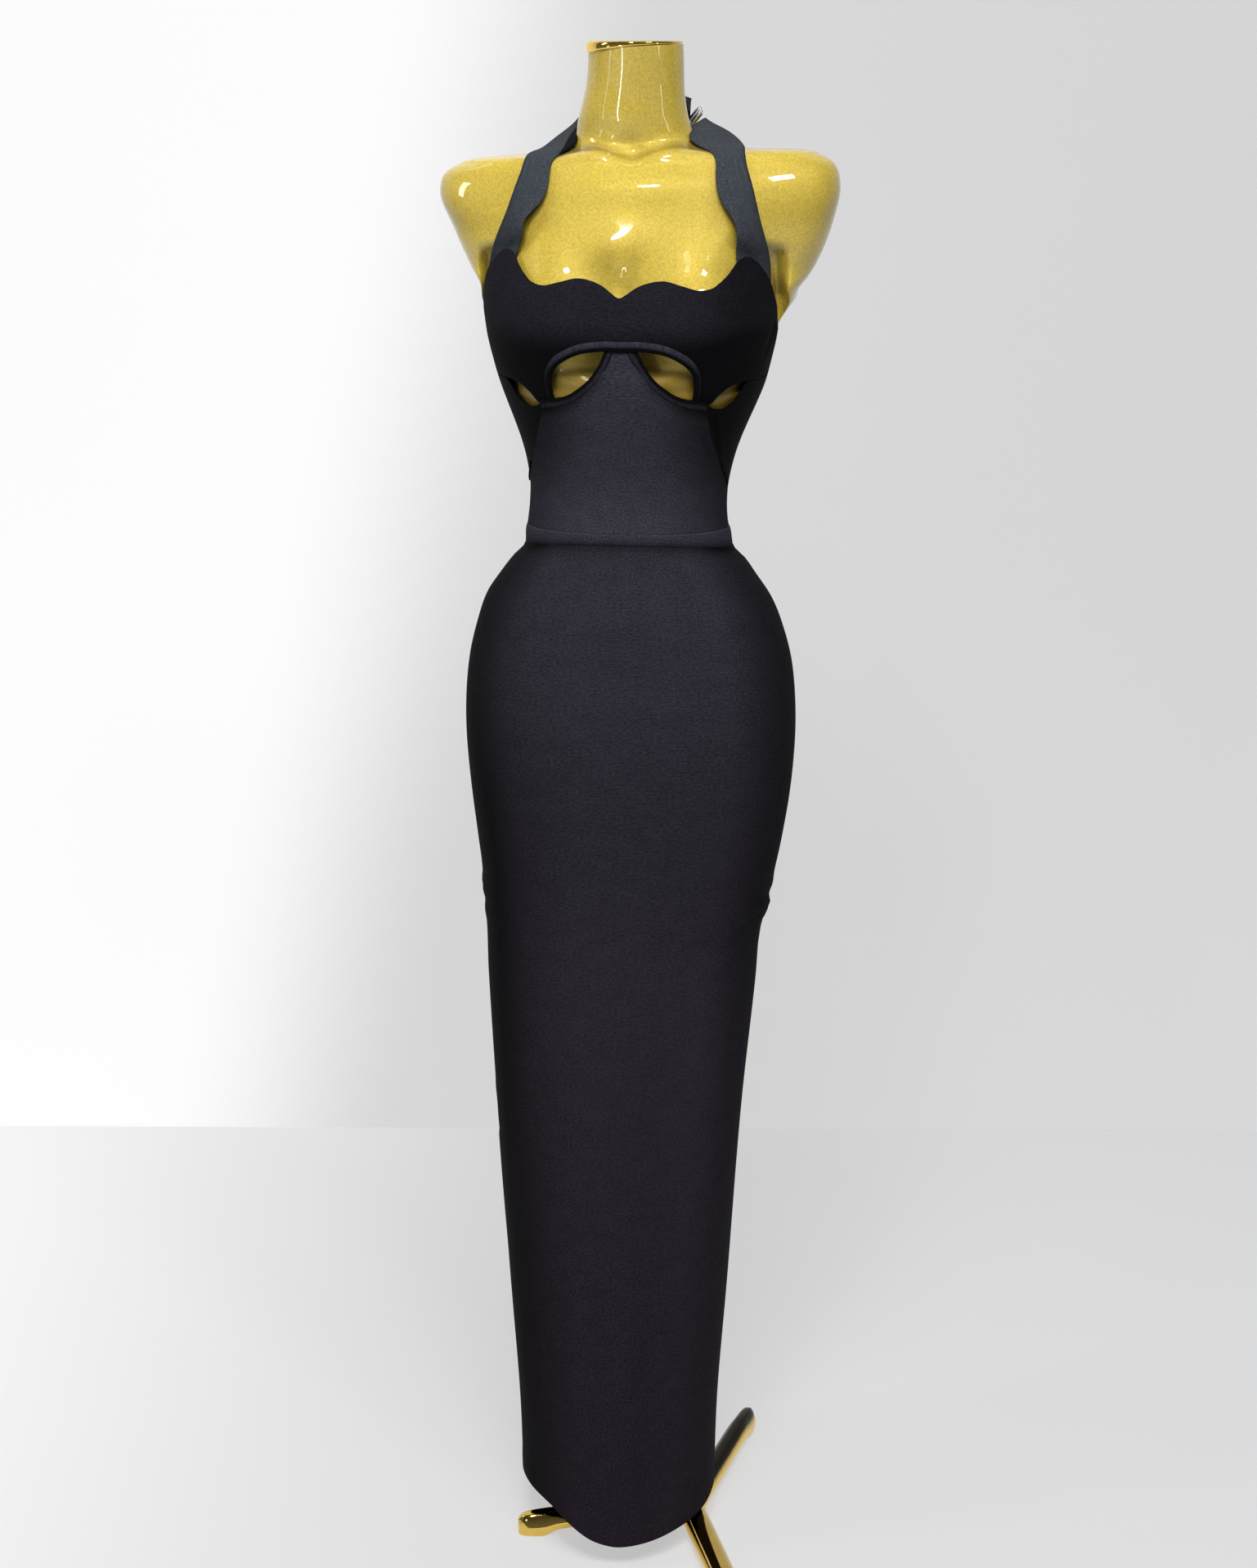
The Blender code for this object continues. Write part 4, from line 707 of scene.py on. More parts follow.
@once
def knit(strap=False):
    """Matt black bandage knit: fine courses across the cloth, a grain of loops, and painted light
    and shade, darker at the edges.
    """
    looks, sizes = bpy.context.scene.dress_looks, bpy.context.scene.dress_sizes
    # the straps' colour is painted lighter, for the light that falls on their tops
    colour = looks.strap_knit if strap else looks.knit
    paint = Paint("strap knit" if strap else "bandage knit")
    where = paint.node("ShaderNodeUVMap", {"uv_map": "knit"})
    run = paint.apart(where)
    rise = run.beside(1)
    wobble = paint.noise(where, KNIT_WAVES) * KNIT_WANDER
    course = rise.math("SINE", (rise + wobble) * (math.tau / sizes.course))
    wale = run.math("SINE", run * (math.tau / sizes.wale))
    loops = course * 0.5 + course * wale * 0.3
    stretched = paint.node("ShaderNodeMapping", None, {"Vector": where, "Scale": (0.6, 1.0, 1.0)})
    grain = paint.noise(stretched, KNIT_GRAIN, 3.0, 0.6)
    patches = paint.noise(stretched, KNIT_PATCHES, 3.0)
    tone = paint.mark("tone")
    light = grain * 1.7 - 0.85 + (patches - 0.5) * 0.3 + loops * 0.25 + 0.5
    held = light.math("MINIMUM", light.math("MAXIMUM", light, 0.0), 1.0)
    worn_black = paint.blend(held, tinted(colour, KNIT_DARK), tinted(colour, KNIT_PALE))
    # painted light and shade: each piece's tone values lighten or darken the knit
    relit = tone.math("MAXIMUM", tone * 0.75 + 1.0, KNIT_LEAST)
    level = paint.apart(paint.place()).beside(2)
    low = paint.node("ShaderNodeMapRange", None,
                     {0: level, 1: LOW_FROM, 2: LOW_TO, 3: 0.0, 4: 1.0})
    warmer = paint.blend(low, (1.0, 1.0, 1.0, 1), LOW_TINT)
    warm = paint.node("ShaderNodeVectorMath", {"operation": "MULTIPLY"}, {0: worn_black, 1: warmer})
    base = paint.node("ShaderNodeVectorMath", {"operation": "SCALE"}, {0: warm, 3: relit})
    height = loops * 0.35 + grain * 0.9
    return paint.done(Base_Color=base, Roughness=0.96 - held * 0.08,
                      Normal=paint.bump(height, 0.0004, 0.8), Specular_IOR_Level=0.08)


@once
def gold_paint():
    """Gold paint with fine metallic flakes under a clear gloss, darkened in places by painted
    shade.
    """
    colour = bpy.context.scene.dress_looks.gold
    paint = Paint("gold flake paint")
    where = paint.place()
    flakes = paint.node("ShaderNodeTexVoronoi", {"feature": "F1"},
                        {"Vector": where, "Scale": FLAKES})
    parts = paint.node("ShaderNodeSeparateColor", None, {0: flakes.beside(1)})
    cloudy = paint.noise(where, FINE_CLOUDS, 3.0)
    broad = paint.noise(where, BROAD_CLOUDS, 2.0)
    share = parts * 0.6 + (cloudy - 0.5) * 1.2 + (broad - 0.5) * 0.3 + 0.2
    lit = paint.blend(share, tinted(colour, GOLD_DARK), tinted(colour, GOLD_PALE))
    # painted shade: the form's tone values darken the paint towards GOLD_SHADE
    tone = paint.mark("tone")
    base = paint.blend(tone, lit, GOLD_SHADE)
    return paint.done(Base_Color=base, Metallic=0.30, Roughness=0.40 + parts * 0.14 + cloudy * 0.08,
                      Normal=paint.bump(parts, 0.00005, 0.5), Coat_Weight=paint.mark("gloss"),
                      Coat_Roughness=0.03)


@once
def gold_chrome():
    """Polished gold plating with faint wear, and a painted dark reflection on the arms' tops."""
    colour = bpy.context.scene.dress_looks.plating
    paint = Paint("gold plating")
    where = paint.place()
    haze = paint.noise(where, HAZE, 4.0, 0.6)
    specks = paint.noise(where, SPECKS, 2.0)
    plate = paint.blend(haze * 0.7 + specks * 0.3,
                        tinted(colour, PLATING_DARK), tinted(colour, PLATING_PALE))
    # painted dark reflection, mottled with clouds, where the piece's tone values ask for it
    tone = paint.mark("tone")
    cloudy = paint.noise(where, PLATING_CLOUDS, 3.0, 0.6)
    base = paint.blend(tone * (1.25 - cloudy * 0.55), plate, PLATING_SHADE)
    return paint.done(Base_Color=base, Metallic=1.0, Roughness=0.05 + haze * 0.06,
                      Normal=paint.bump(specks, 0.00003, 0.5))


def patterned(paint, colour_name, pattern, shades, rough, bump, metal=0.0):
    """A look that one pattern makes: its two shades, how rough it is, and the bump's depth."""
    base = getattr(bpy.context.scene.dress_looks, colour_name)
    dark, light = (tinted(base, share) for share in shades)
    return paint.done(Base_Color=paint.blend(pattern, dark, light), Metallic=metal,
                      Roughness=pattern * rough[1] + rough[0], Normal=paint.bump(pattern, *bump))


@once
def silver():
    """Polished silver metal with faint scratches."""
    paint = Paint("silver metal")
    drawn = paint.node("ShaderNodeMapping", None,
                       {"Vector": paint.place(), "Scale": (1.0, 1.0, 8.0)})
    brushed = paint.noise(drawn, 600.0, 3.0, 0.6)
    return patterned(paint, "silver", brushed, (0.82, 1.1), (0.14, 0.14), (0.00004, 0.5), 1.0)


@once
def zip_cloth():
    """Woven black zip tape with a fine herringbone."""
    paint = Paint("zip tape")
    parts = paint.apart(paint.place())
    zigzag = parts.math("PINGPONG", parts, 0.0015)
    rib = parts.math("SINE", (parts.beside(2) + zigzag) * (math.tau / 0.0009)) * 0.5 + 0.5
    return patterned(paint, "knit", rib, (0.7, 1.9), (0.82, -0.10), (0.0002, 0.7))


@once
def zip_coil():
    """Black nylon of the zip's coil, a little shiny."""
    paint = Paint("zip coil")
    drawn = paint.noise(paint.place(), 900.0)
    return patterned(paint, "knit", drawn, (0.8, 2.2), (0.34, 0.14), (0.00005, 0.5))


@once
def thread():
    """Black polyester sewing thread, twisted, with a little sheen."""
    paint = Paint("sewing thread")
    twist = paint.node("ShaderNodeTexWave", {"bands_direction": "DIAGONAL"},
                       {"Vector": paint.place(), "Scale": 900.0, "Distortion": 1.0})
    return patterned(paint, "knit", twist, (1.1, 2.6), (0.55, -0.10), (0.00008, 0.6))


# ---- what a user may change --------------------------------------------------------------
def length(name, about, default, low, high):
    """A size that a user may change."""
    return FloatProperty(name=name, description=about, default=default, subtype="DISTANCE",
                         min=low, max=high)


def colour(name, about, default):
    """A colour that a user may change."""
    return FloatVectorProperty(name=name, description=about, size=3, default=default,
                               subtype="COLOR", min=0, max=1)


class DressSizes(bpy.types.PropertyGroup):
    """Sizes of the cloth and of what is sewn into it."""
    cloth: length("Cloth", "Thickness of the heavy knit", 0.0016, 0.0008, 0.003)
    course: length("Course", "Height of one course of the knit", 0.0011, 0.0004, 0.004)
    wale: length("Wale", "Width of one column of loops", 0.0009, 0.0004, 0.004)
    stitch: length("Stitch", "Length of a topstitch", 0.0026, 0.001, 0.006)
    thread: length("Thread", "Thickness of the sewing thread", 0.0005, 0.0002, 0.001)
    tooth: length("Tooth", "Distance between two turns of the zip's coil", 0.0014, 0.0008, 0.003)
    curl: length("Strap Curl", "How far the straps' edges roll back", 0.0009, 0.0, 0.002)


class DressLooks(bpy.types.PropertyGroup):
    """Colours of the cloth, the form and the metal."""
    knit: colour("Knit", "Colour of the black knit", (0.0225, 0.0213, 0.0295))
    # the straps' knit colour is painted lighter than the dress's, for the light that falls on their
    # tops
    strap_knit: colour("Strap Knit", "Colour of the straps' faded knit", (0.0320, 0.0369, 0.0437))
    gold: colour("Gold Paint", "Colour of the form's paint", (0.6700, 0.5000, 0.0640))
    plating: colour("Plating", "Colour of the stand's plating", (0.86, 0.60, 0.14))
    silver: colour("Silver", "Colour of the clasp and the zip's slider", (0.80, 0.81, 0.83))


class DressStage(bpy.types.PropertyGroup):
    """The room's brightness."""
    lamps: FloatProperty(name="Lamps", description="Strength of the lamps", default=1.0,
                         subtype="FACTOR", min=0.0, max=4.0)
    floor: colour("Floor", "Colour of the floor and the wall", (0.74, 0.74, 0.745))


class Piece:
    """What the operators share."""
    bl_options = {"REGISTER", "UNDO"}

    def execute(self, context):
        self.build(context.scene.dress_sizes)
        return {"FINISHED"}


# ---- the dress -------------------------------------------------------------------------
MEET, MEET_ANGLE = 0.0003, 0.12           # how far sewn edges run into each other


def band_station(at):
    """Angle and height of the bust band's lower edge and of its neckline, at stations in rows."""
    half = np.abs(at)
    arch_rows = [row[2:] for row in BAND_ARCH]
    last = len(arch_rows) - 1
    arch = along(arch_rows, half)
    cup = along([arch_rows[-1]] + BAND_CUP, half - last)
    row = np.where((half < last)[..., None], arch, cup)
    row[..., [0, 2]] *= np.sign(at)[..., None]
    return np.moveaxis(row, -1, 0)


def swept(low, high, shares):
    """Grids of angles and heights between two edges, each an (angle, height) pair of arrays."""
    shares = shares[:, None]
    return low[0] + (high[0] - low[0]) * shares, low[1] + (high[1] - low[1]) * shares


class DRESS_OT_bust_band(Piece, bpy.types.Operator):
    """Make the front of the bust band, from the scalloped neckline down to the arch"""
    bl_idname = "dress.bust_band"
    bl_label = "Bust Band"
    # angles between which the band's foot tucks under the tie, and how far
    TIE_FROM, TIE_TO = (29.5, 32.0), (36.2, 38.4)
    TUCK_DOWN, TUCK_IN = 0.0030, 0.0016
    # its painted shade, deeper below these heights and beyond these angles
    TONE, LOW_TONE, SIDE_TONE = -0.80, 0.50, 0.25
    LOW_BELOW, SIDE_BEYOND = (1.315, 1.352), (20, 50)

    def build(self, sizes):
        end = len(BAND_ARCH) + len(BAND_CUP) - 1
        stations = (graded(300, 0.34) * 2 - 1) * end
        foot_angle, foot, neck_angle, neck = band_station(stations)
        low, high = (foot_angle, foot), (neck_angle, tilted(neck_angle, neck))
        shares = graded(34, 0.07)
        angles, heights = swept(low, high, shares)
        half = np.abs(foot_angle)
        under = between(half, self.TIE_FROM, self.TIE_TO) * (1 - smooth(shares, 0.0, 0.05))[:, None]
        # painted shade: darker over the band's lower part, where the cups face down, and towards
        # the sides
        tone = (self.TONE - self.LOW_TONE * (1 - smooth(heights, *self.LOW_BELOW))
                - self.SIDE_TONE * smooth(angles, *self.SIDE_BEYOND))
        panel("bust_band_front", angles, heights - self.TUCK_DOWN * under,
              (FREE_ROLL, SEAM_ROLL, FREE_ROLL, SEAM_ROLL), out=-self.TUCK_IN * under, tone=tone)


def midriff_top(at):
    """Angle and height of the midriff's top edge, counted in rows from the centre peak."""
    half = np.abs(at)
    flat = [(0.0, SWOOP[0][3])]
    rows = [row[2:] for row in SWOOP]
    row = np.where((half < 1)[..., None], along(flat + rows[:1], half), along(rows, half - 1))
    return row[..., 0] * np.sign(at), row[..., 1]


class DRESS_OT_midriff(Piece, bpy.types.Operator):
    """Make the middle panel with its centre peak, and the two side panels under the openings"""
    bl_idname = "dress.midriff"
    bl_label = "Midriff"
    # angles where the peak ends, and how far its top tucks up and in behind the band
    PEAK, TUCK_UP, TUCK_IN = (3.4, 4.6), 0.0028, 0.0020
    # painted light in the middle, and the painted shade taken off it at the sides and under the
    # edges
    TONE, SIDE_TONE, TOP_TONE = 0.82, 1.40, 0.7
    # the side panels' painted shade at their inner and outer ends,
    # and how far their feet are lifted
    INNER_TONE, OUTER_TONE, LIFT = -2.0, 1.3, 0.0012

    def build(self, sizes):
        top_angle, top = midriff_top((graded(150, 0.17) * 2 - 1) * len(SWOOP))
        edge, level = along(PRINCESS, (len(PRINCESS) - 1) * (1 - graded(60, 0.13))).T
        down = ((PRINCESS[0][1] - level) / (PRINCESS[0][1] - PRINCESS[-1][1]))[:, None]
        share = top_angle / top_angle[-1]
        foot = waist_line(share * SIDE_ANGLE) - MEET
        under = (1 - smooth(np.abs(top_angle), *self.PEAK)) * (1 - smooth(down, 0.0, 0.05))
        # painted light in the middle, painted shade at the sides and under the swooping edges
        tone = (self.TONE - self.SIDE_TONE * smooth(np.abs(share) + 0 * down, 0.18, 1.0)
                - self.TOP_TONE * (1 - smooth(down, 0.0, 0.11)))
        panel("midriff_front", share * (edge + MEET_ANGLE)[:, None],
              top + (foot - top) * down + self.TUCK_UP * under,
              (SEAM_ROLL, SEAM_ROLL, FREE_ROLL, SEAM_ROLL), out=-self.TUCK_IN * under, tone=tone)
        for side, word in SIDES:
            self.side_panel(side, word)

    def side_panel(self, side, word):
        """One side panel, which narrows to a point at the side seam."""
        seam = PRINCESS[:7]
        top = along([SIDE_PANEL_CORNER] + SIDE_PANEL_TOP, graded(60, 0.10) * len(SIDE_PANEL_TOP))
        edge, level = along(seam, (len(seam) - 1) * (1 - graded(40, 0.10))).T
        low = seam[-1][1]
        down = ((seam[0][1] - level) / (seam[0][1] - low))[:, None]
        share = (top[:, 0] - top[0, 0]) / (top[-1, 0] - top[0, 0])
        start, end = (edge - MEET_ANGLE)[:, None], SIDE_ANGLE + MEET_ANGLE
        # painted shade, deepest at the panel's inner end and lighter towards the side seam
        panel(f"midriff_side_{word}", start + (end - start) * share,
              top[:, 1] + (low + self.LIFT - top[:, 1]) * down,
              (SEAM_ROLL, SEAM_ROLL, FREE_ROLL, SEAM_ROLL), side=side,
              tone=self.INNER_TONE + self.OUTER_TONE * smooth(share, 0.55, 1.0))


def turn_to(height, x):
    """Angles on the dress's back at a distance x to the side of the centre back."""
    width, _, _, _, power = values_at(DRESS, height)
    return BACK_ANGLE - np.degrees(np.arcsin((x / width) ** (power / 2)))


class DRESS_OT_back(Piece, bpy.types.Operator):
    """Make the two plain halves of the back, from the side seams to the zip"""
    bl_idname = "dress.back"
    bl_label = "Back"
    # painted shade, darker near the side seams and fading out between these angles
    SIDE_TONE, SIDE_UNTIL = -0.4, (90, 130)

    def build(self, sizes):
        low = WAIST_SEAM - MEET
        levels = low + (BACK_TOP - low) * graded(60, 0.20)
        start, end = SIDE_ANGLE - MEET_ANGLE, turn_to(levels, ZIP_CHAIN_WIDTH / 2 + GAP)
        angles = start + (end - start)[:, None] * graded(70, 0.16)
        top = eased(BACK_EDGE, angles)[..., 0]
        share = ((levels - low) / (BACK_TOP - low))[:, None]
        for side, word in SIDES:
            panel(f"bodice_back_{word}", angles, low + (top - low) * share,
                  (SEAM_ROLL, FREE_ROLL, FREE_ROLL, SEAM_ROLL), side=side,
                  tone=self.SIDE_TONE * (1 - smooth(angles, *self.SIDE_UNTIL)))


class DRESS_OT_waistband(Piece, bpy.types.Operator):
    """Make the narrow casing between the bodice and the skirt, a little puffed"""
    bl_idname = "dress.waistband"
    bl_label = "Waistband"
    PROUD, PUFF = 0.0003, 0.0009
    # painted light over all and in a lighter line along the casing's top, and painted shade in the
    # groove at its foot
    TONE, TOP_TONE, FOOT_TONE = 0.2, 0.7, 0.8

    def build(self, sizes):
        shares = graded(12, WAIST_SEAM - CASING_FOOT, 0.002)[:, None]
        puff = self.PROUD + self.PUFF * np.sin(math.pi * shares ** 1.3)
        side = SIDE_ANGLE + MEET_ANGLE
        front = np.linspace(-side, side, 160)
        end = turn_to(np.array(WAIST_SEAM), ZIP_CHAIN_WIDTH / 2 + GAP)
        start = SIDE_ANGLE - MEET_ANGLE
        back = start + (end - start) * graded(70, 0.14)
        for word, angles, turned in (("front", front, 1), ("back_left", back, -1),
                                     ("back_right", back, 1)):
            foot = casing_foot(angles) - MEET
            heights = foot + (waist_line(angles) + MEET - foot) * shares
            tone = (self.TONE + self.TOP_TONE * smooth(shares, 0.90, 0.98)
                    - self.FOOT_TONE * (1 - smooth(shares, 0.0, 0.5)) + 0 * angles)
            panel(f"waistband_{word}", angles, heights,
                  (2 * SEAM_ROLL, SEAM_ROLL, SEAM_ROLL, SEAM_ROLL),
                  out=puff, side=turned, tone=tone)


class DRESS_OT_skirt(Piece, bpy.types.Operator):
    """Make the front and the two back halves of the skirt, down to the curved hem"""
    bl_idname = "dress.skirt"
    bl_label = "Skirt"
    # how high the hem turns up, how proud it stands, and the painted shade over the whole skirt
    HEM_TURN, HEM_PROUD, TONE = 0.022, 0.0004, -0.07

    def build(self, sizes):
        side = SIDE_ANGLE + MEET_ANGLE
        front = -side + 2 * side * graded(120, 0.36)
        self.skirt("skirt_front", front[None, :], SEAM_ROLL, 1)
        levels = self.levels(BACK_ANGLE)[:, None]
        slot = smooth(levels, ZIP_BOTTOM - 0.004, ZIP_BOTTOM)
        end = turn_to(levels, 0.00002 + (ZIP_CHAIN_WIDTH / 2 + GAP) * slot)
        start = SIDE_ANGLE - MEET_ANGLE
        back = start + (end - start) * graded(76, 0.19)
        self.skirt("skirt_back_left", back, SEAM_ROLL, -1)
        self.skirt("skirt_back_right", back, SEAM_ROLL, 1)

    def levels(self, angle):
        """Heights of the skirt's rows."""
        hem = eased(HEM, angle)[..., 0]
        top = casing_foot(angle) + MEET
        return hem + (top - hem) * graded(230, 1.06)

    def skirt(self, name, angles, roll, turned):
        """A panel of the skirt, a little proud where the hem is turned up."""
        shares = graded(230, 1.06)[:, None]
        hem = eased(HEM, turned * angles)[..., 0]
        top = casing_foot(angles) + MEET
        heights = hem + (top - hem) * shares
        proud = self.HEM_PROUD * (1 - smooth(heights - hem, self.HEM_TURN - 0.002, self.HEM_TURN))
        angles = np.broadcast_to(angles, heights.shape)
        tone = self.tone(top - heights, np.sin(np.radians(angles * turned)))
        panel(name, angles, heights, (FREE_ROLL, SEAM_ROLL, 2 * SEAM_ROLL, SEAM_ROLL),
              out=proud, side=turned, tone=tone)

    def tone(self, below, across):
        """Painted light and shade at distances below the casing and shares of the way across, -1 to
        1:
        darker under the casing, lower down and at the edges, lighter to the right, darker to the
        left.
        """
        seam = 0.6 * (1 - smooth(below, 0.0, 0.010)) + 0.14 * smooth(below, 0.3, 1.0)
        edge = (0.85 - 0.35 * smooth(below, 0.35, 0.80)) * smooth(np.abs(across), 0.60, 1.0)
        right = 0.30 * smooth(across, 0.30, 0.75) * smooth(below, 0.35, 0.6)
        left = 0.20 + 0.40 * smooth(below, 0.1, 0.3) + 0.15 * smooth(below, 0.5, 0.9)
        return self.TONE - seam - edge + right - left * smooth(-across, 0.20, 0.9)


def tube(name, rings, look, nodes=(), uv=None, tone=None, body=WORN):
    """A closed body through rings of points, with its ends filled by fans."""
    rings = np.asarray(rings, float)
    count, sides = rings.shape[:2]
    index = np.arange(count * sides).reshape(count, sides)
    wrapped = np.concatenate([index, index[:, :1]], axis=1)
    quads = grid_faces(wrapped)
    points = np.concatenate([rings.reshape(-1, 3), [rings[0].mean(0), rings[-1].mean(0)]])
    first, last = (np.full(sides, count * sides + k) for k in (0, 1))
    fans = np.stack([first, wrapped[0, 1:], index[0], last, index[-1], wrapped[-1, 1:]], axis=1)
    fans = fans.reshape(-1, 3)
    a, b, c = np.moveaxis(points[np.concatenate([fans, quads[:, :3], quads[:, [0, 2, 3]]])], 1, 0)
    turn = 1 if (a * np.cross(b, c)).sum() > 0 else -1
    faces = [face[::turn] for face in quads.tolist() + fans.tolist()]

    def capped(values):
        """Values of the rings' points, with those of the ends' middles."""
        ends = [values[0].mean(0), values[-1].mean(0)]
        return np.concatenate([values.reshape(count * sides, -1), ends])
    return make(name, points, faces, look, nodes, uv=None if uv is None else capped(uv),
                tone=None if tone is None else capped(tone[..., None])[:, 0], body=body)


class DRESS_OT_bindings(Piece, bpy.types.Operator):
    """Make the rolled bindings of the under-bust arch and of the midriff's swooping edges"""
    bl_idname = "dress.bindings"
    bl_label = "Bindings"
    # points round a strip, how far it sinks where it tucks under, and the painted shade there
    AROUND, SINK, DIM = 20, 0.0018, 0.9
    SQUARE = 0.8, 0.9            # the section's roundness: less is squarer
    ROUND = 0.012                # the length round a strip, for its weave
    # painted light at the crests and painted shade at the feet of the bindings
    ARCH_TONES, SWOOP_TONES = (0.1, -1.6), (-0.2, -1.4)      # at the crest and at the foot
    # painted shade that darkens the arch's binding towards its ends, between these stations
    ARCH_DIM, ARCH_DIM_FROM = 1.1, (2.4, 4.6)
    ARCH_END = (28.0, 1.2756, 31.3, 1.2740)
    SWOOP_START = (3.8, 1.3262, 1.4, 1.3262)

    def build(self, sizes):
        arch = [row[:4] for row in BAND_ARCH] + [self.ARCH_END]
        end = len(arch) - 1
        stations = np.linspace(-end, end, 200)
        rows = along(arch, np.abs(stations))
        rows[:, [0, 2]] *= np.sign(stations)[:, None]
        fade = smooth(np.abs(stations), end - 1.6, end - 0.7)
        self.binding("arch_binding", rows, ARCH_THICK - (ARCH_THICK - sizes.cloth) * fade,
                     smooth(np.abs(stations), end - 1.0, end), 1, self.ARCH_TONES,
                     self.ARCH_DIM * smooth(np.abs(stations), *self.ARCH_DIM_FROM))
        swoop = [self.SWOOP_START] + SWOOP
        for side, word in SIDES:
            stations = np.linspace(0, len(swoop) - 1, 130)
            rows = along(swoop, stations)
            thick = np.full(len(rows), SWOOP_THICK)
            self.binding(f"swoop_binding_{word}", rows, thick, 1 - smooth(stations, 0.4, 1.6), side,
                         self.SWOOP_TONES)

    def binding(self, name, rows, thick, sunk, side, tones, dim=0.0):
        """A rolled strip that fills the space between an opening's edge and a panel's edge."""
        sizes = bpy.context.scene.dress_sizes
        opening = dress_point(rows[:, 0] * side, rows[:, 1], -sizes.cloth / 2)
        seam = dress_point(rows[:, 2] * side, rows[:, 3], -sizes.cloth / 2)
        across = unit(seam - opening)
        width = np.linalg.norm(seam - opening, axis=1)[:, None] + 0.0004
        middle = (rows[:, 0] + rows[:, 2]) / 2 * side, (rows[:, 1] + rows[:, 3]) / 2
        out = outward(*middle)
        lift = (thick - sizes.cloth) / 2 - self.SINK * sunk
        centre = opening + across * width / 2 + out * lift[:, None]
        turn, *both = circle(self.AROUND)
        c, s = (squared(v, power) for v, power in zip(both, self.SQUARE))
        rings = (centre[:, None] + (across * width / 2)[:, None] * c[:, None]
                 + (out * thick[:, None] / 2)[:, None] * s[:, None])
        length = np.concatenate([[0], np.cumsum(np.linalg.norm(np.diff(centre, axis=0), axis=1))])
        uv = np.stack([np.broadcast_to(turn / math.tau * self.ROUND, rings.shape[:2]),
                       np.broadcast_to(length[:, None], rings.shape[:2])], axis=-1)
        crest, foot = tones
        # painted light along the crest, painted shade down to the foot, deeper where the strip
        # sinks
        lit = foot + (crest - foot) * smooth(0.5 * c + 0.87 * s, 0.55, 0.98)
        lit = lit - (self.DIM * sunk + dim)[:, None]
        made = tube(name, rings, knit(), [name], uv=uv, tone=lit)


# ---- straps ----------------------------------------------------------------------------
def neckline(angle):
    """The neckline's height at an angle."""
    rows = [(row[4], row[5]) for row in BAND_ARCH] + [(row[2], row[3]) for row in BAND_CUP]
    return np.interp(np.abs(angle), [a for a, _ in rows], [z for _, z in rows])


def node_tree(mesh):
    """A mesh's faces, for finding the nearest point on them, in the figure's own axes."""
    corners = [vertex.co - Vector(FIGURE) for vertex in mesh.vertices]
    return BVHTree.FromPolygons(corners, [tuple(face.vertices) for face in mesh.polygons])


def strap_rows(side):
    """Rows of points across a strap, from behind the cup to the nape, before it is laid on."""
    shares = (np.arange(STRAP_ACROSS + 1) / STRAP_ACROSS)
    grid = []
    for outer, inner, above in STRAP_BASE:
        angles = outer + (inner - outer) * shares
        heights = neckline(angles)
        heights = heights + tilted(side * angles, heights) - heights + above
        grid.append(dress_point(side * angles, heights, -STRAP_DEPTH))
    for number, row in enumerate(STRAP):
        outer_by, inner_by = ((side > 0) * far * bell(number + 1, middle, spread)
                              for middle, spread, far in (STRAP_OUTWARD, STRAP_INWARD))
        row = np.array(row) + np.array([outer_by, 0, outer_by, -inner_by, 0, 0])
        outer, inner = (worn(part * (side, 1, 1)) for part in (row[:3], row[3:]))
        grid.append(outer + (inner - outer) * shares[:, None])
    return np.array(grid)


def laid(rows, at, form, cloth):
    """The line across a strap at a row's number, kept clear of the form."""
    line = along(rows.reshape(len(rows), -1), np.array(at)).reshape(-1, 3)
    for k, point in enumerate(line):
        for _ in range(2):
            spot, normal, _, _ = form.find_nearest(Vector(point))
            spot, normal = np.array(spot), np.array(normal)
            short = cloth / 2 + STRAP_CLEAR - (point - spot) @ normal
            point = point + normal * max(0.0, short)
        line[k] = point
    return line


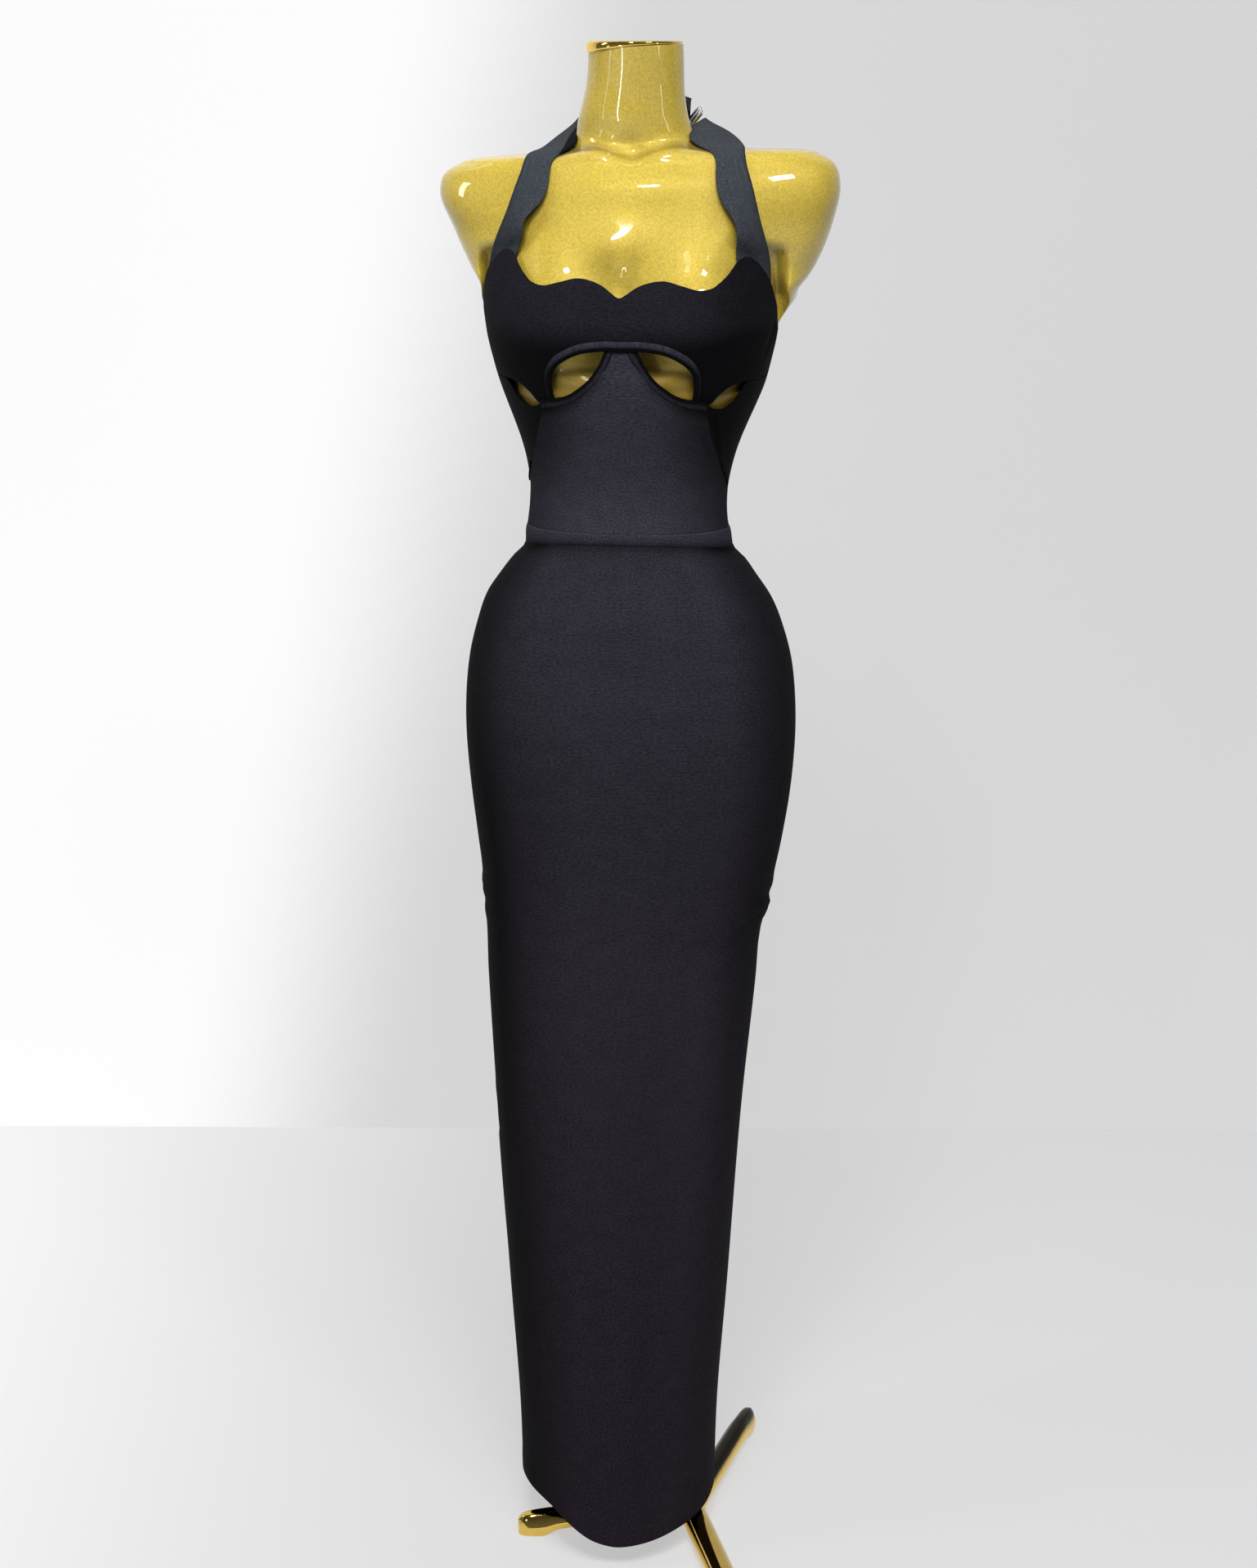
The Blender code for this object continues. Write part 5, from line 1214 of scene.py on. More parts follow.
class DRESS_OT_straps(Piece, bpy.types.Operator):
    """Make the halter: the left strap passes round the nape and clasps to the right one"""
    bl_idname = "dress.straps"
    bl_label = "Straps"
    FINER = (7, 6)               # points laid between two of STRAP's, down and across
    ROLL, LESS = 0.004, 0.6      # how wide an edge rolls, and the far edge's share of it
    # painted shade along the outer rolled edge, and deep painted shade over the left strap's inner
    # part near the neck
    EDGE_TONE, DARK_TONE = 0.7, 2.6
    # the clasp: how square its section is, how much its ends and its middle narrow
    SQUARE, ENDS, MIDDLE, MIDDLE_WIDE = (0.5, 0.6), 0.25, 0.16, 0.12
    # rows of the left strap and the share of its width beyond which painted shade turns it dark
    SHADED = range(8, 16), (1.0, 0.85, 0.68, 0.55, 0.46, 0.40, 0.40, 0.60)

    def build(self, sizes):
        made = bpy.data.objects.get("dress_form") or NODES["form_torso"]
        form = node_tree(made.data)
        nape = len(STRAP_BASE) + len(STRAP) - 1
        left, right = (strap_rows(side) for side in (-1, 1))

        def lines(rows, first, last, steps):
            return [laid(rows, first + (last - first) * i / steps, form, sizes.cloth)
                    for i in range(steps + 1)]
        split = lines(right, STRAP_SPLIT - 0.4, STRAP_SPLIT + 0.4, 2)
        middle = STRAP_ACROSS // 2
        along_it = unit(split[2][middle] - split[0][middle])
        up = split[1][0] - split[1][-1]
        up = unit(up - along_it * (up @ along_it))
        clasp = split[1][middle], along_it, up, np.cross(along_it, up)
        stops = [self.stop(right, form, clasp, sizes.cloth, step) for step in (0.01, -0.01)]
        long = lines(left, 0, nape, STRAP_STEPS * nape) + lines(right, nape, stops[0], 5)[1:]
        self.strap("strap_left", long, 1)
        self.strap("strap_right", lines(right, 0, stops[1], STRAP_STEPS * STRAP_SPLIT), -1)
        self.clasp(*clasp)

    def stop(self, rows, form, clasp, cloth, step):
        """The row's number at which a strap clears the clasp, going from it by small steps."""
        at = STRAP_SPLIT
        while True:
            line = laid(rows, at, form, cloth)
            if np.abs((line - clasp[0]) @ clasp[1]).min() > CLASP_HALF_LENGTH + CLASP_SPACE:
                return at
            at += step

    def strap(self, name, lines, side):
        """A flat strap with softly rolled edges."""
        sizes = bpy.context.scene.dress_sizes
        lines = np.array(lines)
        for _ in range(2):
            lines[1:-1] = lines[1:-1] * 0.5 + (lines[:-2] + lines[2:]) * 0.25
        rows, columns = lines.shape[:2]
        downward = np.linspace(0, rows - 1, (rows - 1) * self.FINER[0] + 1)
        fine = along(lines.reshape(rows, -1), downward)
        fine = np.moveaxis(fine.reshape(-1, columns, 3), 1, 0)
        across = graded((columns - 1) * self.FINER[1], 0.045) * (columns - 1)
        points = along(fine.reshape(columns, -1), across).reshape(len(across), -1, 3)
        points = np.moveaxis(points, 1, 0)
        normals = straight_out(points, side)
        rise, right, _, run = steps_along(points)
        rolled = (1 - smooth(run, 0, self.ROLL)) + (1 - smooth(right, 0, self.ROLL)) * self.LESS
        points = points + normals * (sizes.cloth / 2 - sizes.curl * rolled)[..., None]
        uv = np.stack([run, rise], axis=-1)
        # painted shade: darker along the outer edge, and on the left strap dark over its inner part
        # near the neck
        tone = -self.EDGE_TONE * (1 - smooth(run, 0.0, 0.003))
        if side > 0:
            at = np.linspace(0, rows - 1, len(points))[:, None] / STRAP_STEPS - len(STRAP_BASE)
            share = run / (run + right)
            line = np.interp(at, *self.SHADED)
            tone = tone - self.DARK_TONE * smooth(share, line, line + 0.12)
        shell(name, points, normals, (FREE_ROLL,) * 4, uv, tone, knit(True))

    def clasp(self, centre, along_it, up, out):
        """Two rounded plates as one body, pinched in the middle where they meet."""
        rings = []
        for end in np.linspace(-1, 1, 25):
            body = 1 - abs(end) ** 8 * self.ENDS - self.MIDDLE * bell(end, 0, self.MIDDLE_WIDE)
            tall, deep = (squared(v, power) for v, power in zip(circle(28)[1:], self.SQUARE))
            rings.append(centre + along_it * end * CLASP_HALF_LENGTH
                         + np.outer(tall, up) * CLASP_HALF_HEIGHT * body
                         + np.outer(deep, out) * CLASP_THICK / 2 * body)
        tube("neck_clasp", rings, silver(), ["neck_clasp"])


# ---- zip and stitches ------------------------------------------------------------------
def new_tree(name, sockets):
    """A Geometry Nodes tree with a geometry in and out and named inputs."""
    tree = bpy.data.node_groups.new(name, "GeometryNodeTree")
    tree.interface.new_socket("Geometry", in_out="INPUT", socket_type="NodeSocketGeometry")
    tree.interface.new_socket("Geometry", in_out="OUTPUT", socket_type="NodeSocketGeometry")
    for label, kind, value in sockets:
        socket = tree.interface.new_socket(label, in_out="INPUT", socket_type=kind)
        if value is not None:
            socket.default_value = value
    return tree


def add(tree, kind, settings=None, inputs=None):
    """Add a node to a tree: settings first, then values or links of its sockets."""
    made = tree.nodes.new(kind)
    for key, value in (settings or {}).items():
        setattr(made, key, value)
    for key, value in (inputs or {}).items():
        if isinstance(value, bpy.types.NodeSocket):
            tree.links.new(value, made.inputs[key])
        else:
            made.inputs[key].default_value = value
    return made


def beads_tree():
    """Beads along lines: stitches, or the turns of a coil, one every so far, turned to lie flat."""
    tree = new_tree("beads along lines", [
        ("Spacing", "NodeSocketFloat", 0.003),
        ("Size", "NodeSocketVector", (0.001, 0.0004, 0.0004)),
        ("Turn", "NodeSocketFloat", 0.0), ("Material", "NodeSocketMaterial", None)])
    given = add(tree, "NodeGroupInput")
    curve = add(tree, "GeometryNodeMeshToCurve", None, {"Mesh": given.outputs["Geometry"]})
    spaced = add(tree, "GeometryNodeResampleCurve", {"mode": "LENGTH"},
                 {"Curve": curve.outputs[0], "Length": given.outputs["Spacing"]})
    tangent = add(tree, "GeometryNodeInputTangent")
    facing = add(tree, "GeometryNodeInputNamedAttribute", {"data_type": "FLOAT_VECTOR"},
                 {"Name": "facing"})
    first = add(tree, "FunctionNodeAlignRotationToVector", {"axis": "X"},
                {"Vector": tangent.outputs[0]})
    second = add(tree, "FunctionNodeAlignRotationToVector", {"axis": "Z", "pivot_axis": "X"},
                 {"Rotation": first.outputs[0], "Vector": facing.outputs["Attribute"]})
    turned = add(tree, "FunctionNodeAxisAngleToRotation", None,
                 {"Axis": (0, 0, 1), "Angle": given.outputs["Turn"]})
    rotation = add(tree, "FunctionNodeRotateRotation", {"rotation_space": "LOCAL"},
                   {0: second.outputs[0], 1: turned.outputs[0]})
    bead = add(tree, "GeometryNodeMeshUVSphere", None, {"Segments": 8, "Rings": 5, "Radius": 1.0})
    placed_beads = add(tree, "GeometryNodeInstanceOnPoints", None, {
        "Points": spaced.outputs[0], "Instance": bead.outputs[0],
        "Rotation": rotation.outputs[0], "Scale": given.outputs["Size"]})
    real = add(tree, "GeometryNodeRealizeInstances", None, {0: placed_beads.outputs[0]})
    smooth_faces = add(tree, "GeometryNodeSetShadeSmooth", None, {0: real.outputs[0]})
    painted = add(tree, "GeometryNodeSetMaterial", None,
                  {"Geometry": smooth_faces.outputs[0], "Material": given.outputs["Material"]})
    add(tree, "NodeGroupOutput", None, {0: painted.outputs[0]})
    return tree


def beads(name, lines, look, spacing, size, turn=0.0, nodes=()):
    """Beads along lines on the dress: each line is its points and the ways they face."""
    points, facing, edges = [], [], []
    for line, out in lines:
        start = len(points)
        points.extend((np.asarray(line) + FIGURE).tolist())
        facing.extend(np.asarray(out).ravel().tolist())
        edges.extend((i, i + 1) for i in range(start, len(points) - 1))
    mesh = bpy.data.meshes.new(f"{name} lines")
    mesh.from_pydata(points, edges, [])
    mark(mesh, "facing", facing, "FLOAT_VECTOR", "vector")
    guide = linked(f"{name} lines", mesh)
    tree = bpy.data.node_groups.get("beads along lines") or beads_tree()
    modifier = guide.modifiers.new("beads", "NODES")
    modifier.node_group = tree
    values = {"Spacing": spacing, "Size": size, "Turn": turn, "Material": look}
    for item in tree.interface.items_tree:
        if item.in_out == "INPUT" and item.name in values:
            modifier[item.identifier] = values[item.name]
    graph = bpy.context.evaluated_depsgraph_get()
    made = bpy.data.meshes.new_from_object(guide.evaluated_get(graph), depsgraph=graph)
    bpy.data.objects.remove(guide)
    return own(name, made, look, nodes)


def seam_line(angles, heights, out):
    """Points just on the cloth along a line of angles and heights, and the ways they face."""
    pushed, _ = creased(*(np.array(v, float) for v in np.broadcast_arrays(angles, heights)))
    return dress_point(angles, heights, out - pushed), outward(angles, heights)


def strip_grid(low, high, half, out, columns, rows):
    """A grid of points on a narrow strip along the centre back."""
    levels = np.linspace(low, high, rows)[:, None]
    x = np.linspace(half, -half, columns)
    angles = BACK_ANGLE - np.sign(x) * (BACK_ANGLE - turn_to(levels, np.abs(x)))
    return dress_point(angles, levels, out)


class DRESS_OT_zip(Piece, bpy.types.Operator):
    """Make the zip at the centre back: its woven tape, its coil and the slider's metal"""
    bl_idname = "dress.zip"
    bl_label = "Zip"
    TAPE_BELOW, TAPE_THICK, CORD_THICK = 0.008, 0.0007, 0.0008
    # half sizes of a turn of the coil, and how far it lies to the side
    TOOTH, TOOTH_SIDE = (0.0005, 0.00145, 0.00062), 0.00095

    def build(self, sizes):
        self.strip("zip_tape", ZIP_BOTTOM - self.TAPE_BELOW, BACK_TOP - 0.002,
                   ZIP_TAPE_WIDTH / 2 - GAP, -sizes.cloth - GAP, self.TAPE_THICK,
                   zip_cloth(), "zip_cloth", ["zip_tape"], 20)
        top = BACK_TOP - 0.004
        self.strip("zip_cord", ZIP_BOTTOM, top, ZIP_CHAIN_WIDTH / 2 - 0.0003, -0.0006,
                   self.CORD_THICK, zip_cloth(), "zip_cloth", (), 8)
        lines = []
        for side in (-1, 1):
            shift = sizes.tooth / 2 if side > 0 else 0.0
            levels = np.arange(ZIP_BOTTOM + 0.002 + shift, top - 0.001, sizes.tooth / 2)
            angles = BACK_ANGLE - side * (BACK_ANGLE - turn_to(levels, self.TOOTH_SIDE))
            lines.append(seam_line(angles, levels, -0.0001))
        beads("zip_coil", lines, zip_coil(), sizes.tooth, self.TOOTH,
              nodes=["zip_chain"])
        for name in ("zip_slider", "zip_pull"):
            mesh = NODES[name].data
            mesh.materials.clear()
            mesh.materials.append(silver())

    def strip(self, name, low, high, half, out, thick, look, slot, nodes, columns):
        """A thin strip along the centre back."""
        points = strip_grid(low, high, half, out, columns, 120)
        inner = strip_grid(low, high, half, out - thick, columns, 120)
        rows = points.shape[0]
        front = np.arange(rows * columns).reshape(rows, columns)
        back = front + rows * columns
        rim = np.concatenate([front[0], front[1:, -1], front[-1, -2::-1], front[-2:0:-1, 0]])
        there = np.roll(rim, -1)
        sides = np.stack([rim, rim + rows * columns, there + rows * columns, there], axis=1)
        faces = np.concatenate([grid_faces(front), grid_faces(back)[:, ::-1], sides])
        every = np.concatenate([points.reshape(-1, 3), inner.reshape(-1, 3)])
        made = make(name, every, turned_out(every, faces), look, nodes)
        made.data.set_sharp_from_angle(angle=math.radians(50))


class DRESS_OT_stitches(Piece, bpy.types.Operator):
    """Make the rows of topstitching beside the zip, and the ditch stitches of the seams"""
    bl_idname = "dress.stitches"
    bl_label = "Stitches"
    BESIDE_ZIP, SHARE = 0.0085, 0.62

    def build(self, sizes):
        foot = ZIP_BOTTOM - 0.006
        levels = np.linspace(foot, BACK_TOP - 0.004, 200)
        lines = [seam_line(side * turn_to(levels, self.BESIDE_ZIP), levels, 0.0001)
                 for side in (-1, 1)]
        across = np.linspace(-self.BESIDE_ZIP, self.BESIDE_ZIP, 12)
        low = np.full(across.shape, foot)
        angles = BACK_ANGLE - np.sign(across) * (BACK_ANGLE - turn_to(low, np.abs(across)))
        lines.append(seam_line(angles, low, 0.0001))
        half = sizes.stitch * self.SHARE / 2
        beads("zip_stitches", lines, thread(), sizes.stitch,
              (half, sizes.thread / 2, sizes.thread / 2))
        self.ditch(sizes)

    def ditch(self, sizes):
        """Small stitches sunk in the seams of the waistband."""
        side = SIDE_ANGLE - 1.0
        runs = (np.linspace(-side, side, 200), np.linspace(SIDE_ANGLE + 1, 178, 100),
                np.linspace(-SIDE_ANGLE - 1, -178, 100))
        lines = [seam_line(angles, waist_line(angles), -0.0005) for angles in runs]
        beads("waist_stitches", lines, thread(), sizes.stitch * 0.7,
              (sizes.stitch * 0.24, sizes.thread * 0.5, sizes.thread * 0.5))


# ---- form ------------------------------------------------------------------------------
SHOULDERS_FROM = SHOULDERS[0][0] - 0.03   # where the dress's sections turn into the form's own


def band_edge(height):
    """The angle beyond which the bust band has ended at a height above its side seam."""
    falling = sorted((row[3], row[2]) for row in BAND_CUP if row[3] < 1.412 and row[2] > 57)
    return np.interp(height, [z for z, _ in falling], [a for _, a in falling])


def cloth_limit(x, height):
    """How far forward the form may come behind the bust band: the least y."""
    width, front, _, _, power = values_at(DRESS, height)
    width, front = width - SIDE_SPACE, front - CUP_SPACE
    angle = np.degrees(np.arcsin(np.minimum(1.0, np.abs(x) / width) ** (power / 2)))
    angle = np.minimum(angle, band_edge(height - CUP_MARGIN) + EDGE_BEYOND)
    cloth_top = np.maximum(neckline(angle), STRAP_FOOT * smooth(np.abs(x), *STRAP_FOOT_FROM))
    above = np.maximum(0.0, height - CUP_MARGIN - cloth_top)
    free = ARM_FREE * smooth(np.abs(x), *ARM_FREE_FROM)
    return -front * np.cos(np.radians(angle)) ** (2 / power) - above * FORM_SWELL - free


def form_section(height, cloth):
    """The form's plain section: width, front, back, shift to +X, line towards +Y, squareness."""
    width, front, back, shift, power = values_at(DRESS, height)
    inset = cloth + EASE
    low = np.array([width - inset, front - inset, back - inset, shift, 0 * width, power])
    width, front, back, line, power = values_at(SHOULDERS, height)
    aside = NECK_ASIDE * between(height, *NECK_ASIDE_AT)
    high = np.array([width, front, back, aside, line, power])
    return low + (high - low) * smooth(height, SHOULDERS_FROM, SHOULDERS[0][0])


# soft modelling of the form's front: x, height, half width, half height, how far forward
FORM_SHAPES = [
    (-0.003, 1.3760, 0.030, 0.0300, -0.0048),
    (-0.006, 1.3860, 0.006, 0.0280, -0.0032),
    (-0.090, 1.3980, 0.034, 0.0330, 0.0065),
    (0.090, 1.3980, 0.034, 0.0330, 0.0065),
    (-0.014, 1.4180, 0.030, 0.0220, 0.0060),
    (0.010, 1.4780, 0.060, 0.0200, 0.0040),
]
# the ridge of the collar bones: x and height; the form steps back above it
COLLAR = [
    (-0.090, 1.4930), (-0.077, 1.4990), (-0.063, 1.5045), (-0.035, 1.5065), (-0.015, 1.5000),
    (0.000, 1.4965), (0.018, 1.5025), (0.037, 1.5065), (0.061, 1.5045), (0.077, 1.5000),
    (0.092, 1.4920),
]
COLLAR_STEP, COLLAR_PROUD, COLLAR_CREST = 0.0045, 0.0014, (-0.0035, 0.006)
# rises above the ridge between which the form steps back, and how far aside it does
COLLAR_AT, COLLAR_REACH = ((0.0, 0.0030), (0.0060, 0.0420)), (0.068, 0.092)
ARM_FREE, ARM_FREE_FROM = 0.10, (0.149, 0.164)    # the arms stand clear of the cups
# how far the foot of the neck stands to -X, and the heights between which it does
NECK_ASIDE, NECK_ASIDE_AT = -0.0032, ((1.505, 1.514), (1.530, 1.590))
# how much wider the form's back half is under the arms: height, reach, how far
ARMPIT = (1.360, 0.030, 0.012)


def form_raw(angle, height, cloth):
    """Points of the dress form's face."""
    width, front, back, shift, line, power = form_section(height, cloth)
    x, y = squircle(angle, width, front, back, power)
    px, py = x + shift, y + line
    facing = np.maximum(0.0, np.cos(np.radians(angle)))
    reach = np.where(height > BUST_HEIGHT, BUST_REACH_UP, BUST_REACH_DOWN)
    swell = BUST_FORWARD * bell(height, BUST_HEIGHT, reach)
    for side in (-1, 1):
        py = py - swell * np.minimum(1.0, 3 * facing) * bell(x, side * BUST_APART, BUST_SPREAD)
    py = py + RIB_HOLLOW * bell(height, RIB_HOLLOW_HEIGHT, RIB_HOLLOW_REACH) * facing
    notch = bell(height, NOTCH_HEIGHT, NOTCH_REACH) * bell(x, 0, NOTCH_WIDTH)
    py = py + NOTCH_DEPTH * notch * facing
    limit = cloth_limit(x, height)
    kept = (py + limit + np.sqrt((py - limit) ** 2 + 0.002 ** 2)) / 2
    behind = (facing > 0) & (height > SHOULDERS_FROM) & (height < CLOTH_LIMIT_TOP)
    py = np.where(behind, kept, py)
    level, reach, wide = ARMPIT
    wider = wide * bell(height, level, reach)
    px = px + wider * np.sin(np.radians(angle)) * smooth(-np.cos(np.radians(angle)), 0.05, 0.45)
    above = height - eased(COLLAR, x)[..., 0]
    held = facing * (1 - smooth(np.abs(x), *COLLAR_REACH))
    proud = COLLAR_PROUD * bell(above, *COLLAR_CREST)
    py = py + held * (COLLAR_STEP * between(above, *COLLAR_AT) - proud)
    for at, level, wide, tall, out in FORM_SHAPES:
        py = py - out * facing * spot(x, height, at, level, wide, tall)
    return np.stack([px, py, height + 0 * px], axis=-1)


class DRESS_OT_form(Piece, bpy.types.Operator):
    """Make the limbless form, with its arms cut off flat, and the plated cap on its neck"""
    bl_idname = "dress.form"
    bl_label = "Dress Form"
    COLUMNS, ROWS = 240, 360
    FINER, FINER_ABOVE = 3, (1.20, 1.30)      # how much finer the rows lie from the ribs up
    FINEST, FINEST_AT, FINEST_REACH = 9, 1.504, 0.014    # and about the collar
    ARM_ROUND, ARM_PROUD = 0.042, (0.004, 0.010)
    CAP_DEEPER = 0.0035
    # share of the cap's height, share of the neck's size
    CAP = [
        (0.0, 0.97), (0.04, 1.0), (0.12, 1.018), (0.25, 1.022), (0.62, 1.022), (0.80, 1.012),
        (0.92, 0.985), (0.98, 0.95), (1.0, 0.90), (1.0, 0.6), (1.0, 0.2),
    ]
    # how deep the shade is in the opening under the bust, at its top and below, beside the
    # straps, over the chest, and in the hollow behind the collar, at its middle and its ends
    WINDOW_SHADE, WINDOW_LOW, STRAP_SHADE, CHEST_SHADE = 0.06, 0.58, 0.20, 0.18
    COLLAR_SHADE, COLLAR_ENDS = 0.35, 0.30
    # the heights, or distances from the middle, between which each of them comes and goes
    WINDOW_AT, WINDOW_LOWER = ((1.258, 1.275), (1.322, 1.340)), (1.298, 1.310)
    STRAPS_AT, STRAPS_ASIDE = ((1.425, 1.445), (1.485, 1.500)), (0.066, 0.084)
    HOLLOW_AT, HOLLOW_ASIDE = ((0.0, 0.0022), (0.0025, 0.0100)), (0.070, 0.085)
    ENDS_ASIDE = (0.02, 0.05)
    # how far aside the chest's painted shade reaches, and where painted light lifts it at the
    # chest's middle
    CHEST_ASIDE, CHEST_LIT, CHEST_LIT_AT = (0.095, 0.135), 0.8, (0.0, 1.47, 0.03, 0.03)
    # soft painted shade on the chest, and a painted light line where the depth is below nothing:
    # x, height, half width, half height, depth
    HOLLOWS = [
        (-0.022, 1.412, 0.009, 0.022, 0.13), (0.008, 1.403, 0.006, 0.026, 0.13),
        (-0.007, 1.405, 0.004, 0.020, -0.12),
    ]
    # duller places: x, height, half width, half height
    DULL = [
        (-0.090, 1.410, 0.014, 0.034), (0.0595, 1.406, 0.009, 0.016), (-0.136, 1.443, 0.036, 0.020),
        (0.169, 1.457, 0.014, 0.026), (-0.0045, 1.4440, 0.014, 0.0090),
    ]
    WINDOW_DULL, SPOT_DULL = 0.85, 0.97

    def build(self, sizes):
        levels = np.linspace(FORM_FOOT, NECK_TOP, 4000)
        width, front, _, _, _, _ = form_section(levels, sizes.cloth)
        detail = (1 + self.FINER * smooth(levels, *self.FINER_ABOVE)
                  + self.FINEST * bell(levels, self.FINEST_AT, self.FINEST_REACH))
        length = np.cumsum(np.hypot(np.gradient(width), np.gradient(levels)) * detail)
        heights = np.interp(np.linspace(length[0], length[-1], self.ROWS), length, levels)
        turns = 360 * np.arange(self.COLUMNS) / self.COLUMNS
        points = form_raw(*np.broadcast_arrays(turns[None, :], heights[:, None]), sizes.cloth)
        points = self.cut_arms(self.settled(points, 2))
        index = np.arange(self.ROWS * self.COLUMNS).reshape(self.ROWS, -1)
        faces = grid_faces(np.concatenate([index, index[:, :1]], axis=1)).tolist()
        faces += [index[0, ::-1].tolist(), index[-1].tolist()]
        kept = np.float32(points.reshape(-1, 3)).astype(float)      # as finely as a mesh holds them
        # the form's painted shade, from shaded(), goes with it
        made = make("dress_form", lean(kept), faces, gold_paint(), ["form_torso"],
                    tone=self.shaded(points))
        made.data.set_sharp_from_angle(angle=math.radians(50))
        mark(made.data, "gloss", self.glossy(points))
        self.cap()

    def shaded(self, points):
        """How deep the painted shade lies on the form's points: in the shade of the cloth around
        them, beside the straps, over the chest and behind the collar.
        """
        x, y, z = np.moveaxis(points.reshape(-1, 3), -1, 0)
        far = np.abs(x)
        window = between(z, *self.WINDOW_AT)
        window = window * (self.WINDOW_SHADE
                           + self.WINDOW_LOW * (1 - smooth(z, *self.WINDOW_LOWER)))
        beside = smooth(far, *self.STRAPS_ASIDE) * between(z, *self.STRAPS_AT)
        line = between(z - eased(COLLAR, x)[..., 0], *self.HOLLOW_AT)
        hollow = line * (1 - smooth(far, *self.HOLLOW_ASIDE))
        hollow = hollow * (self.COLLAR_SHADE + self.COLLAR_ENDS * smooth(far, *self.ENDS_ASIDE))
        lit = 1 - self.CHEST_LIT * spot(x, z, *self.CHEST_LIT_AT)
        chest = (1 - smooth(far, *self.CHEST_ASIDE)) * lit
        soft = sum(deep * spot(x, z, *place) for *place, deep in self.HOLLOWS)
        near = self.STRAP_SHADE * beside + self.CHEST_SHADE * chest
        return (y < 0) * (window + near + hollow + soft)

    def glossy(self, points):
        """How glossy the form's points are: worn duller in places, and behind the cloth."""
        x, y, z = np.moveaxis(points.reshape(-1, 3), -1, 0)
        dull = self.WINDOW_DULL * between(z, (1.250, 1.262), (1.325, 1.340))
        for place in self.DULL:
            dull = np.maximum(dull, self.SPOT_DULL * spot(x, z, *place, power=4))
        return 1 - (y < 0) * dull

    def settled(self, points, rounds):
        """Points with the small kinks of their curves evened out."""
        for _ in range(rounds):
            around = (np.roll(points, 1, axis=1) + np.roll(points, -1, axis=1)) / 2
            points = points * 0.5 + around * 0.5
            middle = (points[:-2] + points[2:]) / 2
            points[1:-1] = points[1:-1] * 0.5 + middle * 0.5
        return points

    def cut_arms(self, points):
        """Points with both arms cut off flat, the flats' rims rounded over."""
        for side, x, height, slope in ARM_CUTS:
            way = unit(np.array([side, 0.0, -slope]))
            z = points[..., 2]
            reach = self.ARM_ROUND * smooth(z, ARM_CUT_FROM - 0.010, ARM_CUT_FROM + 0.015)
            out = (points - np.array([side * (x + self.ARM_PROUD[side > 0]), 0.0, height])) @ way
            near = np.clip((out + reach) / np.maximum(2 * reach, 1e-6), 0, 1)
            back = np.where(out > reach, out, reach * near ** 2)
            back = back * (z > ARM_CUT_FROM - 0.010)
            points = points - way * back[..., None]
        return points

    def cap(self):
        """The plated cap on the neck, a little proud of it, thicker towards -X."""
        width, front, back, line, power = eased(SHOULDERS, NECK_TOP)
        turns = 360 * np.arange(96) / 96
        rings = []
        for share, size in self.CAP:
            x, y = squircle(turns, width * size, front * size, back * size, power)
            low = lean(np.stack([x, y + line, 0 * x + NECK_TOP], axis=-1))[:, 2] + GAP
            low = low - self.CAP_DEEPER * np.maximum(0.0, -x / width)
            rings.append(np.stack([x, y + line, low + (CAP_TOP - low) * share], axis=-1))
        tube("neck_cap", rings, gold_chrome(), ["neck_cap"])


